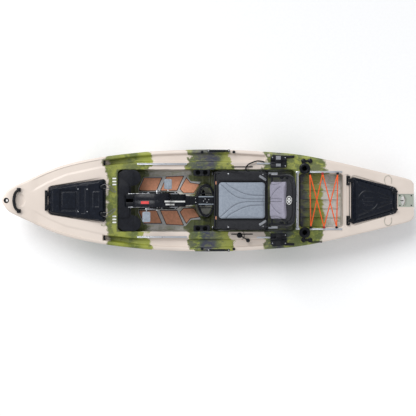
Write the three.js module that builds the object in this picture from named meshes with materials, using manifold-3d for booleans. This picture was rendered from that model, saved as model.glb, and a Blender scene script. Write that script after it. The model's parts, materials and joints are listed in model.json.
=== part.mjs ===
// Pedal-drive sit-on-top fishing kayak, as an assembly of separate parts.
// Millimetres, +Z up, bow towards -X, port towards -Y, starboard towards +Y.
// z = 0 is the lowest point of the skeg and the rudder.
import * as THREE from 'three';
import { mergeVertices } from 'three/addons/utils/BufferGeometryUtils.js';
import Module from 'manifold-3d';

const wasm = await Module();
wasm.setup();

// ---------------------------------------------------------------- driving dimensions
const GAP = 0.3;                 // clearance between parts that touch
const WALL = 5;                  // moulded hull wall
const ABOVE = 620;               // a height clear of every deck
const BELOW = -60;               // a height clear of the keel

// Table of offsets, one row a station:
// [x, half beam, sheer height, keel height, half chine, chine height]
const OFFSETS = [
  [-1920, 12, 404, 376, 9, 388],
  [-1895, 48, 450, 345, 30, 382],
  [-1860, 92, 458, 292, 55, 345],
  [-1800, 130, 454, 200, 80, 285],
  [-1710, 172, 440, 114, 105, 250],
  [-1476, 280, 427, 97, 190, 212],
  [-1277, 345, 422, 88, 255, 170],
  [-982, 405, 402, 77, 318, 140],
  [-712, 441, 350, 70, 358, 114],
  [-488, 461, 332, 70, 382, 102],
  [-78, 476, 331, 72, 398, 100],
  [257, 471, 331, 75, 394, 101],
  [546, 454, 334, 79, 376, 106],
  [816, 431, 357, 80, 352, 115],
  [1133, 373, 372, 82, 296, 126],
  [1441, 303, 361, 112, 228, 140],
  [1758, 228, 329, 144, 158, 168],
  [1890, 192, 308, 200, 132, 222],
  [1920, 160, 302, 222, 112, 238],
];

const COCKPIT = { bow: -846, stern: 807, half: 290, corner: 45 };
const FOOTWELL_FLOOR = 150;
const SEAT_FLOOR = 200;
const SEAT_FLOOR_BOW = 20;
const TUNNEL = { half: 62, stern: -100, top: 320 };
const WELL_HUMP = { x: -36, rx: 104, ry: 168 };
const SLOT = { bow: -843, stern: -50, half: 34.5 };
const PROP_WELL = { x: -48, rx: 82, ry: 148 };
const TANK = { bow: 844, stern: 1254, half: 252, corner: 30, floor: 240 };
const FRONT_HATCH = { bow: -1486, stern: -952, bowHalf: 135, sternHalf: 212, seat: 404, tilt: 0 };
const REAR_HATCH = { bow: 1325, stern: 1763, bowHalf: 233, sternHalf: 125, seat: 362, tilt: 0.088 };
const HATCH_LEDGE = 34;
const GASKET = 3;
const STERN_SLOT = { x: 1819, rx: 29, ry: 52 };
const ROD_BORE = { x: 896, y: 298, r: 29, floor: 172 };
const SCUPPER = { x: 666, y: 151, rx: 32, ry: 21 };
const TROUGH_FLOOR = 305;
const CRANK = { x: -472, z: 497, arm: 158, lean: THREE.MathUtils.degToRad(37.5) };
const HOUSING = { lobeX: -651, lobeZ: 460, lobeR: 46, wheelX: -450, wheelR: 104, half: 62, wall: 5 };
const BASE_TOP = 388;
const PINION_Y = 8;
const LEG_PIVOT = { x: -800, z: 205 };
const PROP = { x: -48, z: 200, hub: 20, r: 102, blades: 3 };
const SEAT = { bow: 62, stern: 540, half: 255, railTop: 212, top: 480, tube: 12 };
const SEAT_HINGE = { x: 568, z: 512 };
const SEAT_LEAN = THREE.MathUtils.degToRad(30);
const BACK_HALF = 222;
const LEVER = { x: 290, y: -324 };
const RUDDER = { x: 1646, top: 118, half: 5 };

// ---------------------------------------------------------------- materials
function finish(color, roughness, metalness = 0) {
  return new THREE.MeshStandardMaterial({ color, roughness, metalness });
}
const FINISH = {
  hull: finish(0xb9b56e, 0.55),
  blackPlastic: finish(0x17181c, 0.5),
  rubber: finish(0x101012, 0.85),
  footPad: finish(0xd3997c, 0.9),
  aluminium: finish(0xb9bec6, 0.32, 1),
  steel: finish(0x9a9ea4, 0.3, 1),
  blackTube: finish(0x15161a, 0.42, 0.6),
  fabric: finish(0x62707f, 0.95),
  greyPlastic: finish(0x7d8794, 0.6),
  bungee: finish(0xc2452f, 0.8),
  webbing: finish(0x141518, 0.9),
};

// ---------------------------------------------------------------- solids
// A closed three.js geometry as a solid that can be cut and joined.
function solid(geometry) {
  const bare = geometry.clone();
  bare.deleteAttribute('normal');
  bare.deleteAttribute('uv');
  const merged = mergeVertices(bare, 1e-4);
  const index = merged.index.array;
  const triangles = [];
  for (let i = 0; i < index.length; i += 3) {
    const [a, b, c] = [index[i], index[i + 1], index[i + 2]];
    if (a !== b && b !== c && c !== a) triangles.push(a, b, c);
  }
  return new wasm.Manifold(new wasm.Mesh({
    numProp: 3,
    vertProperties: new Float32Array(merged.attributes.position.array),
    triVerts: new Uint32Array(triangles),
  }));
}

function geometryOf(manifold) {
  const mesh = manifold.getMesh();
  const geometry = new THREE.BufferGeometry();
  geometry.setAttribute('position', new THREE.BufferAttribute(mesh.vertProperties, 3));
  geometry.setIndex(new THREE.BufferAttribute(mesh.triVerts, 1));
  geometry.computeVertexNormals();
  return geometry;
}

function join(...parts) {
  return parts.reduce((whole, part) => whole.add(part));
}

function cut(body, ...tools) {
  return tools.reduce((rest, tool) => rest.subtract(tool), body);
}

function box(x0, x1, y0, y1, z0, z1) {
  const geometry = new THREE.BoxGeometry(x1 - x0, y1 - y0, z1 - z0);
  geometry.translate((x0 + x1) / 2, (y0 + y1) / 2, (z0 + z1) / 2);
  return solid(geometry);
}

function shapeOf(points) {
  return new THREE.Shape(points.map(([x, y]) => new THREE.Vector2(x, y)));
}

// An XY outline raised from z0 to z1.
function plate(points, z0, z1) {
  const geometry = new THREE.ExtrudeGeometry(shapeOf(points), { depth: z1 - z0, bevelEnabled: false });
  geometry.translate(0, 0, z0);
  return solid(geometry);
}

// An XZ outline carried across from y0 to y1.
function slab(points, y0, y1) {
  const geometry = new THREE.ExtrudeGeometry(shapeOf(points), { depth: y1 - y0, bevelEnabled: false });
  geometry.rotateX(Math.PI / 2);
  geometry.translate(0, y1, 0);
  return solid(geometry);
}

function rod(from, to, radius, sides = 16) {
  const start = new THREE.Vector3(...from);
  const run = new THREE.Vector3(...to).sub(start);
  const geometry = new THREE.CylinderGeometry(radius, radius, run.length(), sides);
  geometry.applyQuaternion(new THREE.Quaternion().setFromUnitVectors(
    new THREE.Vector3(0, 1, 0), run.clone().normalize()));
  geometry.translate(...start.addScaledVector(run, 0.5).toArray());
  return solid(geometry);
}

// A turned part: profile of [radius, height] points about +Z, moved to its place.
function turned(profile, sides, place = [0, 0, 0], tiltX = 0, tiltY = 0) {
  const geometry = new THREE.LatheGeometry(profile.map(([r, h]) => new THREE.Vector2(r, h)), sides);
  geometry.rotateX(Math.PI / 2 + tiltX);
  geometry.rotateY(tiltY);
  geometry.translate(...place);
  return solid(geometry);
}

// A tube swept along a smooth path.
function tube(points, radius, steps, sides = 10) {
  const path = new THREE.CatmullRomCurve3(points.map((p) => new THREE.Vector3(...p)), false, 'centripetal');
  const ring = [];
  for (let i = 0; i < sides; i += 1) {
    const angle = (i / sides) * 2 * Math.PI;
    ring.push([radius * Math.cos(angle), radius * Math.sin(angle)]);
  }
  return solid(new THREE.ExtrudeGeometry(shapeOf(ring), { steps, extrudePath: path, bevelEnabled: false }));
}

// ---------------------------------------------------------------- outlines
function ellipse(x, y, rx, ry, sides = 28) {
  const points = [];
  for (let i = 0; i < sides; i += 1) {
    const angle = (i / sides) * 2 * Math.PI;
    points.push([x + rx * Math.cos(angle), y + ry * Math.sin(angle)]);
  }
  return points;
}

// Polygon corners, counter-clockwise, each rounded by an arc of the given radius.
function rounded(corners, radius, arcSteps = 4) {
  const points = [];
  corners.forEach((corner, i) => {
    const here = new THREE.Vector2(...corner);
    const before = new THREE.Vector2(...corners[(i + corners.length - 1) % corners.length]);
    const after = new THREE.Vector2(...corners[(i + 1) % corners.length]);
    const inward = before.sub(here).normalize();
    const outward = after.sub(here).normalize();
    const halfAngle = Math.acos(THREE.MathUtils.clamp(inward.dot(outward), -1, 1)) / 2;
    const reach = radius / Math.tan(halfAngle);
    const start = here.clone().addScaledVector(inward, reach);
    const end = here.clone().addScaledVector(outward, reach);
    const curve = new THREE.QuadraticBezierCurve(start, here, end);
    curve.getPoints(arcSteps).forEach((p) => points.push([p.x, p.y]));
  });
  return points;
}

// A polygon moved outwards by a distance; a negative distance moves it inwards.
function grown(points, distance) {
  const count = points.length;
  return points.map(([x, y], i) => {
    const [ax, ay] = points[(i + count - 1) % count];
    const [bx, by] = points[(i + 1) % count];
    const first = new THREE.Vector2(y - ay, ax - x).normalize();
    const second = new THREE.Vector2(by - y, x - bx).normalize();
    const normal = first.clone().add(second).normalize();
    const reach = distance / Math.max(0.4, normal.dot(first));
    return [x + normal.x * reach, y + normal.y * reach];
  });
}

function rectangle(x0, x1, half, corner) {
  return rounded([[x0, -half], [x1, -half], [x1, half], [x0, half]], corner);
}

function trapezoid(hatch, inset, corner) {
  const x0 = hatch.bow + inset;
  const x1 = hatch.stern - inset;
  return rounded([
    [x0, -hatch.bowHalf + inset], [x1, -hatch.sternHalf + inset],
    [x1, hatch.sternHalf - inset], [x0, hatch.bowHalf - inset]], corner);
}

function mirroredY(points) {
  return points.map(([x, y]) => [x, -y]).reverse();
}

// ---------------------------------------------------------------- hull
// Values of the table of offsets at any station, on a smooth curve.
function offsetsAt(x) {
  const last = OFFSETS.length - 2;
  let i = OFFSETS.findIndex((row, n) => n > last || x < OFFSETS[n + 1][0]);
  i = Math.min(Math.max(i, 0), last);
  const t = (x - OFFSETS[i][0]) / (OFFSETS[i + 1][0] - OFFSETS[i][0]);
  return [1, 2, 3, 4, 5].map((column) => {
    const slope = (n) => {
      const low = OFFSETS[Math.max(n - 1, 0)];
      const high = OFFSETS[Math.min(n + 1, last + 1)];
      return (high[column] - low[column]) / (high[0] - low[0]);
    };
    const span = OFFSETS[i + 1][0] - OFFSETS[i][0];
    const a = OFFSETS[i][column];
    const b = OFFSETS[i + 1][column];
    const t2 = t * t;
    const t3 = t2 * t;
    return (2 * t3 - 3 * t2 + 1) * a + (t3 - 2 * t2 + t) * span * slope(i)
      + (3 * t2 - 2 * t3) * b + (t3 - t2) * span * slope(i + 1);
  });
}

// Half a hull section, from the keel out to the chine, up to the sheer and in to mid deck.
function halfSection(x) {
  const [beam, sheer, keel, chine, chineZ] = offsetsAt(x);
  const lip = Math.min(20, beam * 0.35);
  const out = (f) => chine + (beam - chine) * f;
  const up = (f) => chineZ + (sheer - chineZ) * f;
  return [
    [0, keel],
    [chine * 0.5, keel + (chineZ - keel) * 0.1],
    [chine * 0.84, keel + (chineZ - keel) * 0.42],
    [chine, chineZ],
    [out(0.5), up(0.3)],
    [out(0.88), up(0.62)],
    [beam, sheer - lip],
    [beam - lip * 0.28, sheer - lip * 0.28],
    [beam - lip, sheer],
    [beam * 0.45, sheer + 2],
    [0, sheer + 3],
  ];
}

function hullRing(x, inset) {
  const half = halfSection(x);
  const port = half.slice(1, -1).reverse().map(([y, z]) => [-y, z]);
  const ring = [...half, ...port];
  return inset === 0 ? ring : grown(ring, -inset);
}

// The outside of the hull, or with an inset the inside face of its wall.
function hullLoft(stations, inset) {
  const rings = stations.map((x) => hullRing(x, inset));
  const count = rings[0].length;
  const positions = [];
  rings.forEach((ring, i) => ring.forEach(([y, z]) => positions.push(stations[i], y, z)));
  const index = [];
  for (let i = 0; i + 1 < rings.length; i += 1) {
    for (let j = 0; j < count; j += 1) {
      const next = (j + 1) % count;
      const a = i * count + j;
      const b = i * count + next;
      index.push(a, b, a + count, b, b + count, a + count);
    }
  }
  [0, rings.length - 1].forEach((end) => {
    const ring = rings[end];
    const middle = positions.length / 3;
    const height = (ring[0][1] + ring[(count) / 2][1]) / 2;
    positions.push(stations[end], 0, height);
    for (let j = 0; j < count; j += 1) {
      const a = end * count + j;
      const b = end * count + (j + 1) % count;
      if (end === 0) index.push(middle, b, a);
      else index.push(middle, a, b);
    }
  });
  const geometry = new THREE.BufferGeometry();
  geometry.setAttribute('position', new THREE.Float32BufferAttribute(positions, 3));
  geometry.setIndex(index);
  return solid(geometry);
}

function stationsBetween(first, last) {
  const xs = [first];
  OFFSETS.forEach(([x], i) => {
    if (x > first && x < last) xs.push(x);
    const next = i + 1 < OFFSETS.length ? OFFSETS[i + 1][0] : x;
    const middle = (x + next) / 2;
    if (next - x > 150 && middle > first && middle < last) xs.push(middle);
  });
  xs.push(last);
  return xs;
}

// Height of the deck at a place outside the recesses.
function deckAt(x, y) {
  const [shoulder, mid] = halfSection(x).slice(-3, -1);
  const across = Math.abs(y);
  if (across < mid[0]) return mid[1] + 1;
  const t = (across - mid[0]) / (shoulder[0] - mid[0]);
  return mid[1] + (shoulder[1] - mid[1]) * Math.min(t, 1);
}

// The raised tunnel over the drive slot and the oval hump over the propeller.
function tunnel(grow) {
  const { half, stern, top } = TUNNEL;
  const { x, rx, ry } = WELL_HUMP;
  return [
    box(COCKPIT.bow - 60, stern, -half + grow, half - grow, BELOW, top - grow),
    plate(ellipse(x, 0, rx - grow, ry - grow, 32), BELOW, top - grow),
  ];
}

// The open cockpit round the drive tunnel; the seat stands on a higher floor.
function cockpit(grow) {
  const { bow, stern, half, corner } = COCKPIT;
  const well = plate(grown(rectangle(bow, stern, half, corner), grow), FOOTWELL_FLOOR - grow, ABOVE);
  const bench = box(SEAT_FLOOR_BOW + grow, stern + 60, -half - 60, half + 60, BELOW, SEAT_FLOOR - grow);
  return cut(well, bench, ...tunnel(grow));
}

// The long shallow trough for rods in one gunwale.
function gunwaleTrough(side, grow) {
  const inner = [[-985, 318], [-640, 356], [540, 356]];
  const outer = [540, 250, -80, -480, -720, -985].map((x) => [x, offsetsAt(x)[0] - 30]);
  const outline = grown([...inner, ...outer], grow);
  return plate(side > 0 ? outline : mirroredY(outline), TROUGH_FLOOR - grow, ABOVE);
}

// A solid drawn level over a hatch, turned to lie along the deck there.
function onHatch(hatch, body) {
  if (hatch.tilt === 0) return body;
  const geometry = geometryOf(body);
  geometry.translate(-hatch.bow, 0, -hatch.seat);
  geometry.rotateY(Math.atan(hatch.tilt));
  geometry.translate(hatch.bow, 0, hatch.seat);
  return solid(geometry);
}

function hatchSeat(hatch, grow) {
  return onHatch(hatch, plate(trapezoid(hatch, -3 - grow, 40), hatch.seat - grow, hatch.seat + 120));
}

function recesses(grow) {
  const through = (outline) => plate(grown(outline, grow), BELOW, ABOVE);
  const parts = [
    cockpit(grow),
    plate(grown(rectangle(TANK.bow, TANK.stern, TANK.half, TANK.corner), grow), TANK.floor - grow, ABOVE),
    through(rectangle(SLOT.bow, SLOT.stern, SLOT.half, 12)),
    through(ellipse(PROP_WELL.x, 0, PROP_WELL.rx, PROP_WELL.ry, 32)),
    through(ellipse(STERN_SLOT.x, 0, STERN_SLOT.rx, STERN_SLOT.ry, 20)),
    through(ellipse(-1871, 0, 15, 15, 12)),
    hatchSeat(FRONT_HATCH, grow),
    hatchSeat(REAR_HATCH, grow),
  ];
  [-1, 1].forEach((side) => {
    parts.push(through(ellipse(SCUPPER.x, side * SCUPPER.y, SCUPPER.rx, SCUPPER.ry, 16)));
    parts.push(gunwaleTrough(side, grow));
    const bore = ellipse(ROD_BORE.x, side * ROD_BORE.y, ROD_BORE.r, ROD_BORE.r, 20);
    parts.push(plate(grown(bore, grow), ROD_BORE.floor - grow, ABOVE));
  });
  return join(...parts);
}

function skeg() {
  const profile = [[1095, 100], [1110, 74], [1215, 44], [1325, 10], [1365, 0], [1577, 0], [1577, 150],
    [1400, 130]];
  return slab(profile, -17, 17);
}

function hullShell() {
  const outside = join(hullLoft(stationsBetween(-1920, 1920), 0), skeg());
  const inside = cut(hullLoft(stationsBetween(-1790, 1900), WALL), recesses(WALL));
  const opening = (hatch) => onHatch(hatch,
    plate(trapezoid(hatch, HATCH_LEDGE, 30), hatch.seat - 20, hatch.seat + 20));
  const drain = rod([185, 0, 60], [185, 0, 100], 14, 16);
  const rudderBore = rod([RUDDER.x, 0, 100], [RUDDER.x, 0, 170], 7, 12);
  return cut(outside, recesses(0), inside, opening(FRONT_HATCH), opening(REAR_HATCH), drain, rudderBore);
}

function drainPlug() {
  const keel = offsetsAt(185)[2];
  return join(
    rod([185, 0, keel - 5], [185, 0, keel - GAP], 22, 20),
    rod([185, 0, keel - 2], [185, 0, keel + 14], 13.6, 16));
}

// ---------------------------------------------------------------- hatches
function gasket(hatch) {
  const low = hatch.seat + GAP;
  const ring = plate(trapezoid(hatch, 10, 34), low, low + GASKET);
  return onHatch(hatch, cut(ring, plate(trapezoid(hatch, 24, 28), low - 1, low + GASKET + 1)));
}

function lidBase(hatch) {
  return hatch.seat + 2 * GAP + GASKET;
}

// Lid with a stepped rim, hollow beneath, and two lugs for the hinge pin at its forward edge.
function hatchLid(hatch, rise, lugY, axisZ) {
  const low = lidBase(hatch);
  const rim = plate(trapezoid(hatch, 0, 38), low, low + rise * 0.6);
  const crown = plate(trapezoid(hatch, 16, 32), low + 1, low + rise);
  const hollow = plate(trapezoid(hatch, 30, 26), low - 1, low + rise - 8);
  const shell = onHatch(hatch, cut(join(rim, crown), hollow));
  const axisX = hatch.bow - 15;
  const lugs = [-1, 1].map((side) => cut(
    box(axisX - 8, hatch.bow + 20, side * lugY - 20, side * lugY + 20, axisZ - 7, axisZ + 7),
    rod([axisX, side * lugY - 30, axisZ], [axisX, side * lugY + 30, axisZ], 3.3, 12)));
  return join(shell, ...lugs);
}

// Two cheeked hinge blocks on one strip, with the pin that the lid turns on.
function hatchHinge(hatch, lugY, axisZ, deckZ) {
  const axisX = hatch.bow - 15;
  const strip = box(axisX - 16, axisX + 10, -lugY - 34, lugY + 34, deckZ, axisZ - 14);
  const cheeks = [-1, 1].flatMap((side) => [-28, 28].map((offset) => box(
    axisX - 12, axisX + 9, side * lugY + offset - 6, side * lugY + offset + 6, axisZ - 15, axisZ + 8)));
  const pins = [-1, 1].map((side) => rod(
    [axisX, side * lugY - 26, axisZ], [axisX, side * lugY + 26, axisZ], 3, 12));
  return join(strip, ...cheeks, ...pins);
}

// Turn latch: a round head with a tongue that reaches past the edge of the lid.
function turnLatch(x, y, z) {
  return join(rod([x, y, z], [x, y, z + 9], 17, 20), box(x, x + 42, y - 8, y + 8, z + 2, z + 8));
}

// ---------------------------------------------------------------- deck fittings
function bowHandle() {
  return tube([[-1755, -97, 466], [-1783, -72, 476], [-1800, 0, 481], [-1783, 72, 476], [-1755, 97, 466]],
    12, 14, 8);
}

function gearTrack(x0, x1, y, width) {
  const z = Math.max(deckAt(x0, y), deckAt((x0 + x1) / 2, y), deckAt(x1, y)) + 4 * GAP;
  return cut(box(x0, x1, y - width / 2, y + width / 2, z, z + 8),
    box(x0 - 1, x1 + 1, y - 3, y + 3, z + 5, z + 9),
    box(x0 - 1, x1 + 1, y - 5, y + 5, z + 2, z + 5.5));
}

// Two-layer foam mat with grooves between its three tiles.
function footMat(side) {
  const tiles = [
    [[-656, 89], [-488, 89], [-432, 219], [-610, 219], [-656, 116]],
    [[-460, 89], [-293, 89], [-227, 236], [-400, 228]],
    [[-274, 107], [-237, 68], [-134, 68], [-69, 160], [-167, 172], [-209, 224]],
  ];
  const backing = [[-660, 85], [-250, 85], [-232, 66], [-132, 66], [-75, 178], [-165, 182], [-215, 240],
    [-612, 223], [-662, 118]];
  const place = (points) => (side > 0 ? points : mirroredY(points));
  const low = FOOTWELL_FLOOR + GAP;
  const mat = join(plate(place(backing), low, low + 3),
    ...tiles.map((tile) => plate(place(tile), low + 2, low + 8)));
  return cut(mat, plate(ellipse(WELL_HUMP.x, 0, WELL_HUMP.rx + 4, WELL_HUMP.ry + 4, 32), 0, ABOVE));
}

// Oval lid over the propeller well, with a window each side of the middle bar.
function wellCover() {
  const low = TUNNEL.top + GAP;
  const cover = plate(ellipse(-22, 0, 84, 158, 36), low, low + 11);
  const window = plate(ellipse(-22, 0, 62, 134, 28), low - 1, low + 12);
  const bars = [box(-120, 80, -46, 46, low - 2, low + 13), box(-120, 80, -72, -62, low - 2, low + 13),
    box(-120, 80, 62, 72, low - 2, low + 13)];
  return cut(cover, cut(window, ...bars));
}

function crossbar() {
  const z = deckAt(829, 0) + 19;
  const feet = [-1, 1].map((side) => box(812, 846, side * 262 - 10, side * 262 + 10, z - 17, z + 16));
  return join(rod([829, -262, z], [829, 262, z], 13.5, 20), ...feet);
}

function rodCup(side) {
  const z = deckAt(ROD_BORE.x + 46, ROD_BORE.y) + 4 * GAP;
  const r = ROD_BORE.r - 3 * GAP;
  const depth = z - ROD_BORE.floor - 2;
  return turned([[0, -depth], [r, -depth], [r, 0], [46, 0], [46, 7], [22, 7], [22, -depth + 4],
    [0, -depth + 4]], 24, [ROD_BORE.x, side * ROD_BORE.y, z]);
}

// Block that a paddle or rod shaft lies in, under its strap.
function shaftKeeper(side) {
  const low = deckAt(728, 305) + 4 * GAP;
  const outline = rounded([[578, 305], [728, 305], [728, 415], [600, 425], [578, 400]], 12);
  const block = plate(side > 0 ? outline : mirroredY(outline), low, low + 26);
  const groove = rod([560, side * 360, low + 32], [750, side * 350, low + 32], 20, 20);
  const strap = box(636, 664, side * 360 - 50, side * 360 + 50, low + 20, low + 34);
  const gap = box(630, 670, side * 360 - 38, side * 360 + 38, low + 14, low + 30);
  return join(cut(block, groove), cut(strap, gap));
}

function cupHolder(side) {
  const outline = rounded([[-140, 232], [15, 232], [15, 289.6], [-140, 289.6]], 14);
  const block = plate(side > 0 ? outline : mirroredY(outline), 236, 330);
  return cut(block, rod([-30, side * 261, 250], [-30, side * 261, 340], 23, 20),
    rod([-98, side * 261, 250], [-98, side * 261, 340], 23, 20));
}

// Shock cord laced between three anchors a side over the tank well.
function tankBungee() {
  const z = deckAt(1060, 250) + 26;
  const starboard = [943, 1061, 1202];
  const port = [951, 1074, 1191];
  const s = (i, dx = 0) => [starboard[i] + dx, 250, z];
  const p = (i, dx = 0) => [port[i] + dx, -250, z];
  const middle = (a, b, lift) => [(a + b) / 2, 0, z + lift];
  const over = 7;
  return tube([
    s(0, -6), middle(starboard[0], port[0], 0), p(0, -6), p(0, 6),
    middle(port[0], starboard[1], -over), s(1, -6), s(1, 6), middle(starboard[1], port[2], over),
    p(2, -6), p(2, 6), middle(port[2], starboard[2], 0), s(2, 6), s(2, -6),
    middle(starboard[2], port[1], -over), p(1, 6), p(1, -6), middle(port[1], starboard[0], over),
    s(0, 9)], 3.5, 64, 6);
}

function sideHandle(side) {
  const y = side * 463;
  const z = 347;
  const ends = [[-8, 12], [179, 199]].map(([x0, x1]) => box(x0, x1, y - 12, y + 12, z - 9, z + 9));
  return join(rod([6, y, z], [185, y, z], 8.5, 14), ...ends);
}

// ---------------------------------------------------------------- pedal drive
function circlePoints(x, z, r, sides) {
  return ellipse(x, z, r, r, sides);
}

// Outer outline of points, counter-clockwise.
function hullOf(points) {
  const sorted = [...points].sort((a, b) => a[0] - b[0] || a[1] - b[1]);
  const turn = (o, a, b) => (a[0] - o[0]) * (b[1] - o[1]) - (a[1] - o[1]) * (b[0] - o[0]);
  const chain = (list) => {
    const kept = [];
    list.forEach((point) => {
      while (kept.length > 1 && turn(kept.at(-2), kept.at(-1), point) <= 1e-6) kept.pop();
      kept.push(point);
    });
    return kept.slice(0, -1);
  };
  return [...chain(sorted), ...chain([...sorted].reverse())];
}

function housingOutline(inset) {
  const { lobeX, lobeZ, lobeR, wheelX, wheelR } = HOUSING;
  const low = BASE_TOP + GAP + inset;
  return [
    hullOf([...circlePoints(lobeX, lobeZ, lobeR - inset, 20),
      ...circlePoints(wheelX, CRANK.z, wheelR - inset, 36)]),
    [[lobeX - lobeR + inset, low], [-378 - inset, low], [-378 - inset, 480], [lobeX - lobeR + inset, 470]],
  ];
}

function housingHalf(side) {
  const { half, wall } = HOUSING;
  const range = (near, far) => (side > 0 ? [near, far] : [-far, -near]);
  const outer = housingOutline(0).map((outline) => slab(outline, ...range(0.2, half)));
  const inner = housingOutline(wall).map((outline) => slab(outline, ...range(-1, half - wall)));
  const handHole = slab(rounded([[-594, 403], [-478, 403], [-478, 424], [-594, 424]], 10), ...range(-2, half + 2));
  const axleHole = rod([CRANK.x, -90, CRANK.z], [CRANK.x, 90, CRANK.z], 11, 20);
  const shaftHole = rod([-672, 0, 370], [-672, 0, 420], 13, 16);
  return cut(join(...outer), join(...inner), handHole, axleHole, shaftHole);
}

function driveBase() {
  const low = TUNNEL.top + GAP;
  const profile = [[-780, low], [-212, low], [-212, low + 14], [-300, BASE_TOP], [-765, BASE_TOP],
    [-780, BASE_TOP - 16]];
  return cut(slab(profile, -58, 58), box(-768, -655, -16, 16, 300, 400));
}

// Saddle across the tunnel and both footwells that carries the drive.
function driveMount() {
  const low = TUNNEL.top + GAP;
  const front = plate(rounded([[-842, -250], [-790, -286], [-700, -286], [-700, 286], [-790, 286],
    [-842, 250]], 24), low, low + 34);
  const crown = plate(rounded([[-838, -160], [-740, -160], [-740, 160], [-838, 160]], 30), low + 1, low + 52);
  const lobes = [-1, 1].map((side) => plate(ellipse(-702, side * 213, 72, 73, 24), low, low + 30));
  const seatForBase = box(-781, -600, -58.4, 58.4, low - 20, 500);
  const aft = box(-722, -600, -135, 135, low - 20, 500);
  return cut(join(front, crown, ...lobes), seatForBase, aft);
}

function armDirection(side) {
  return [side * Math.sin(CRANK.lean), -side * Math.cos(CRANK.lean)];
}

function pedalPlace(side) {
  const [dx, dz] = armDirection(side);
  return [CRANK.x + dx * CRANK.arm, CRANK.z + dz * CRANK.arm];
}

function crankArm(side) {
  const [px, pz] = pedalPlace(side);
  const blade = slab(hullOf([...circlePoints(CRANK.x, CRANK.z, 17, 18), ...circlePoints(px, pz, 11, 14)]),
    ...(side > 0 ? [73, 85] : [-85, -73]));
  return cut(join(blade, rod([px, side * 80, pz], [px, side * 192, pz], 6, 12)),
    rod([CRANK.x, -100, CRANK.z], [CRANK.x, 100, CRANK.z], 9.3, 16));
}

function pedal(side) {
  const [px, pz] = pedalPlace(side);
  const outline = rounded([[px - 36, 104], [px + 36, 104], [px + 36, 199], [px - 36, 199]], 14);
  const block = plate(side > 0 ? outline : mirroredY(outline), pz - 13, pz + 13);
  return cut(block, rod([px, side * 95, pz], [px, side * 194, pz], 6.4, 12));
}

function crankAxle() {
  return rod([CRANK.x, -86, CRANK.z], [CRANK.x, 86, CRANK.z], 9, 16);
}

// Bevel crown wheel on the crank axle; its cone faces the pinion.
function crownWheel() {
  const wheel = turned([[9.3, -20], [22, -20], [22, -14], [66, -14], [66, -10], [60, -8], [36, -8],
    [22, 12], [9.3, 12], [9.3, -20]], 28, [0, 0, 0], -Math.PI / 2);
  const geometry = geometryOf(wheel);
  geometry.translate(CRANK.x, -1, CRANK.z);
  return solid(geometry);
}

function pinion() {
  return join(rod([-545, PINION_Y, CRANK.z], [-532, PINION_Y, CRANK.z], 15.2, 20),
    rod([-622, PINION_Y, CRANK.z], [-540, PINION_Y, CRANK.z], 6, 12));
}

function shaftSleeve() {
  return tube([[-625, PINION_Y, CRANK.z], [-655, 6, 487], [-671, 2, 455], [-672, 0, 400], [-688, 0, 345],
    [-722, 0, 296], [-750, 0, 268]], 8, 14, 8);
}

function driveLeg() {
  const { x, z } = LEG_PIVOT;
  const profile = [[x - 30, z - 12], [x - 12, z - 30], [-560, 158], [-230, 176], [-142, 188], [-142, 213],
    [-230, 222], [-560, 240], [x + 20, z + 32], [x - 14, z + 30], [x - 30, z + 12]];
  return cut(slab(profile, -22, 22), rod([x, -40, z], [x, 40, z], 8.4, 16));
}

// Hub, shaft and pitched blades, turning about X.
function propeller() {
  const pitch = THREE.MathUtils.degToRad(38);
  const hub = rod([PROP.x - 24, 0, PROP.z], [PROP.x + 18, 0, PROP.z], PROP.hub, 18);
  const nose = rod([PROP.x + 17, 0, PROP.z], [PROP.x + 26, 0, PROP.z], 12, 14);
  const shaft = rod([-141, 0, PROP.z], [PROP.x - 20, 0, PROP.z], 8, 12);
  const blades = [];
  for (let i = 0; i < PROP.blades; i += 1) {
    const blade = geometryOf(plate(ellipse(0, 58, 24, 44, 18), -1.8, 1.8));
    blade.rotateY(Math.PI / 2 - pitch);
    blade.rotateX((i / PROP.blades) * 2 * Math.PI);
    blade.translate(PROP.x, 0, PROP.z);
    blades.push(solid(blade));
  }
  return join(hub, nose, shaft, ...blades);
}

// ---------------------------------------------------------------- seat
function seatFrame() {
  const { bow, stern, half, railTop, top, tube: r } = SEAT;
  const foot = railTop + GAP;
  const hoops = [-1, 1].map((side) => tube([[bow, side * half, foot], [bow, side * half, 400],
    [bow + 12, side * half, 452], [bow + 50, side * half, top], [300, side * half, top],
    [stern - 46, side * half, top], [stern - 10, side * half, 452], [stern, side * half, 400],
    [stern, side * half, foot]], r, 28, 8));
  const crossTubes = [[bow, 430], [stern, 430]].map(([x, z]) => rod([x, -half, z], [x, half, z], 11, 12));
  const brackets = [-1, 1].map((side) => {
    const plateOf = slab([[500, 462], [540, 462], [582, 505], [578, 526], [560, 526], [500, 490]],
      ...(side > 0 ? [240, 248] : [-248, -240]));
    const pin = rod([SEAT_HINGE.x, side * 214, SEAT_HINGE.z], [SEAT_HINGE.x, side * 244, SEAT_HINGE.z], 5, 12);
    return join(plateOf, pin);
  });
  return join(...hoops, ...crossTubes, ...brackets);
}

function seatSling() {
  return plate(rectangle(SEAT.bow + 24, SEAT.stern - 20, 238, 20), 474, 478);
}

function seatCushion() {
  return plate(rectangle(SEAT.bow + 22, SEAT.stern - 6, 178, 40), 479, 504);
}

// A solid drawn upright at the hinge axis, turned to the lean of the seat back.
function leaned(body) {
  const geometry = geometryOf(body);
  geometry.rotateY(SEAT_LEAN);
  geometry.translate(SEAT_HINGE.x, 0, SEAT_HINGE.z);
  return solid(geometry);
}

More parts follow.
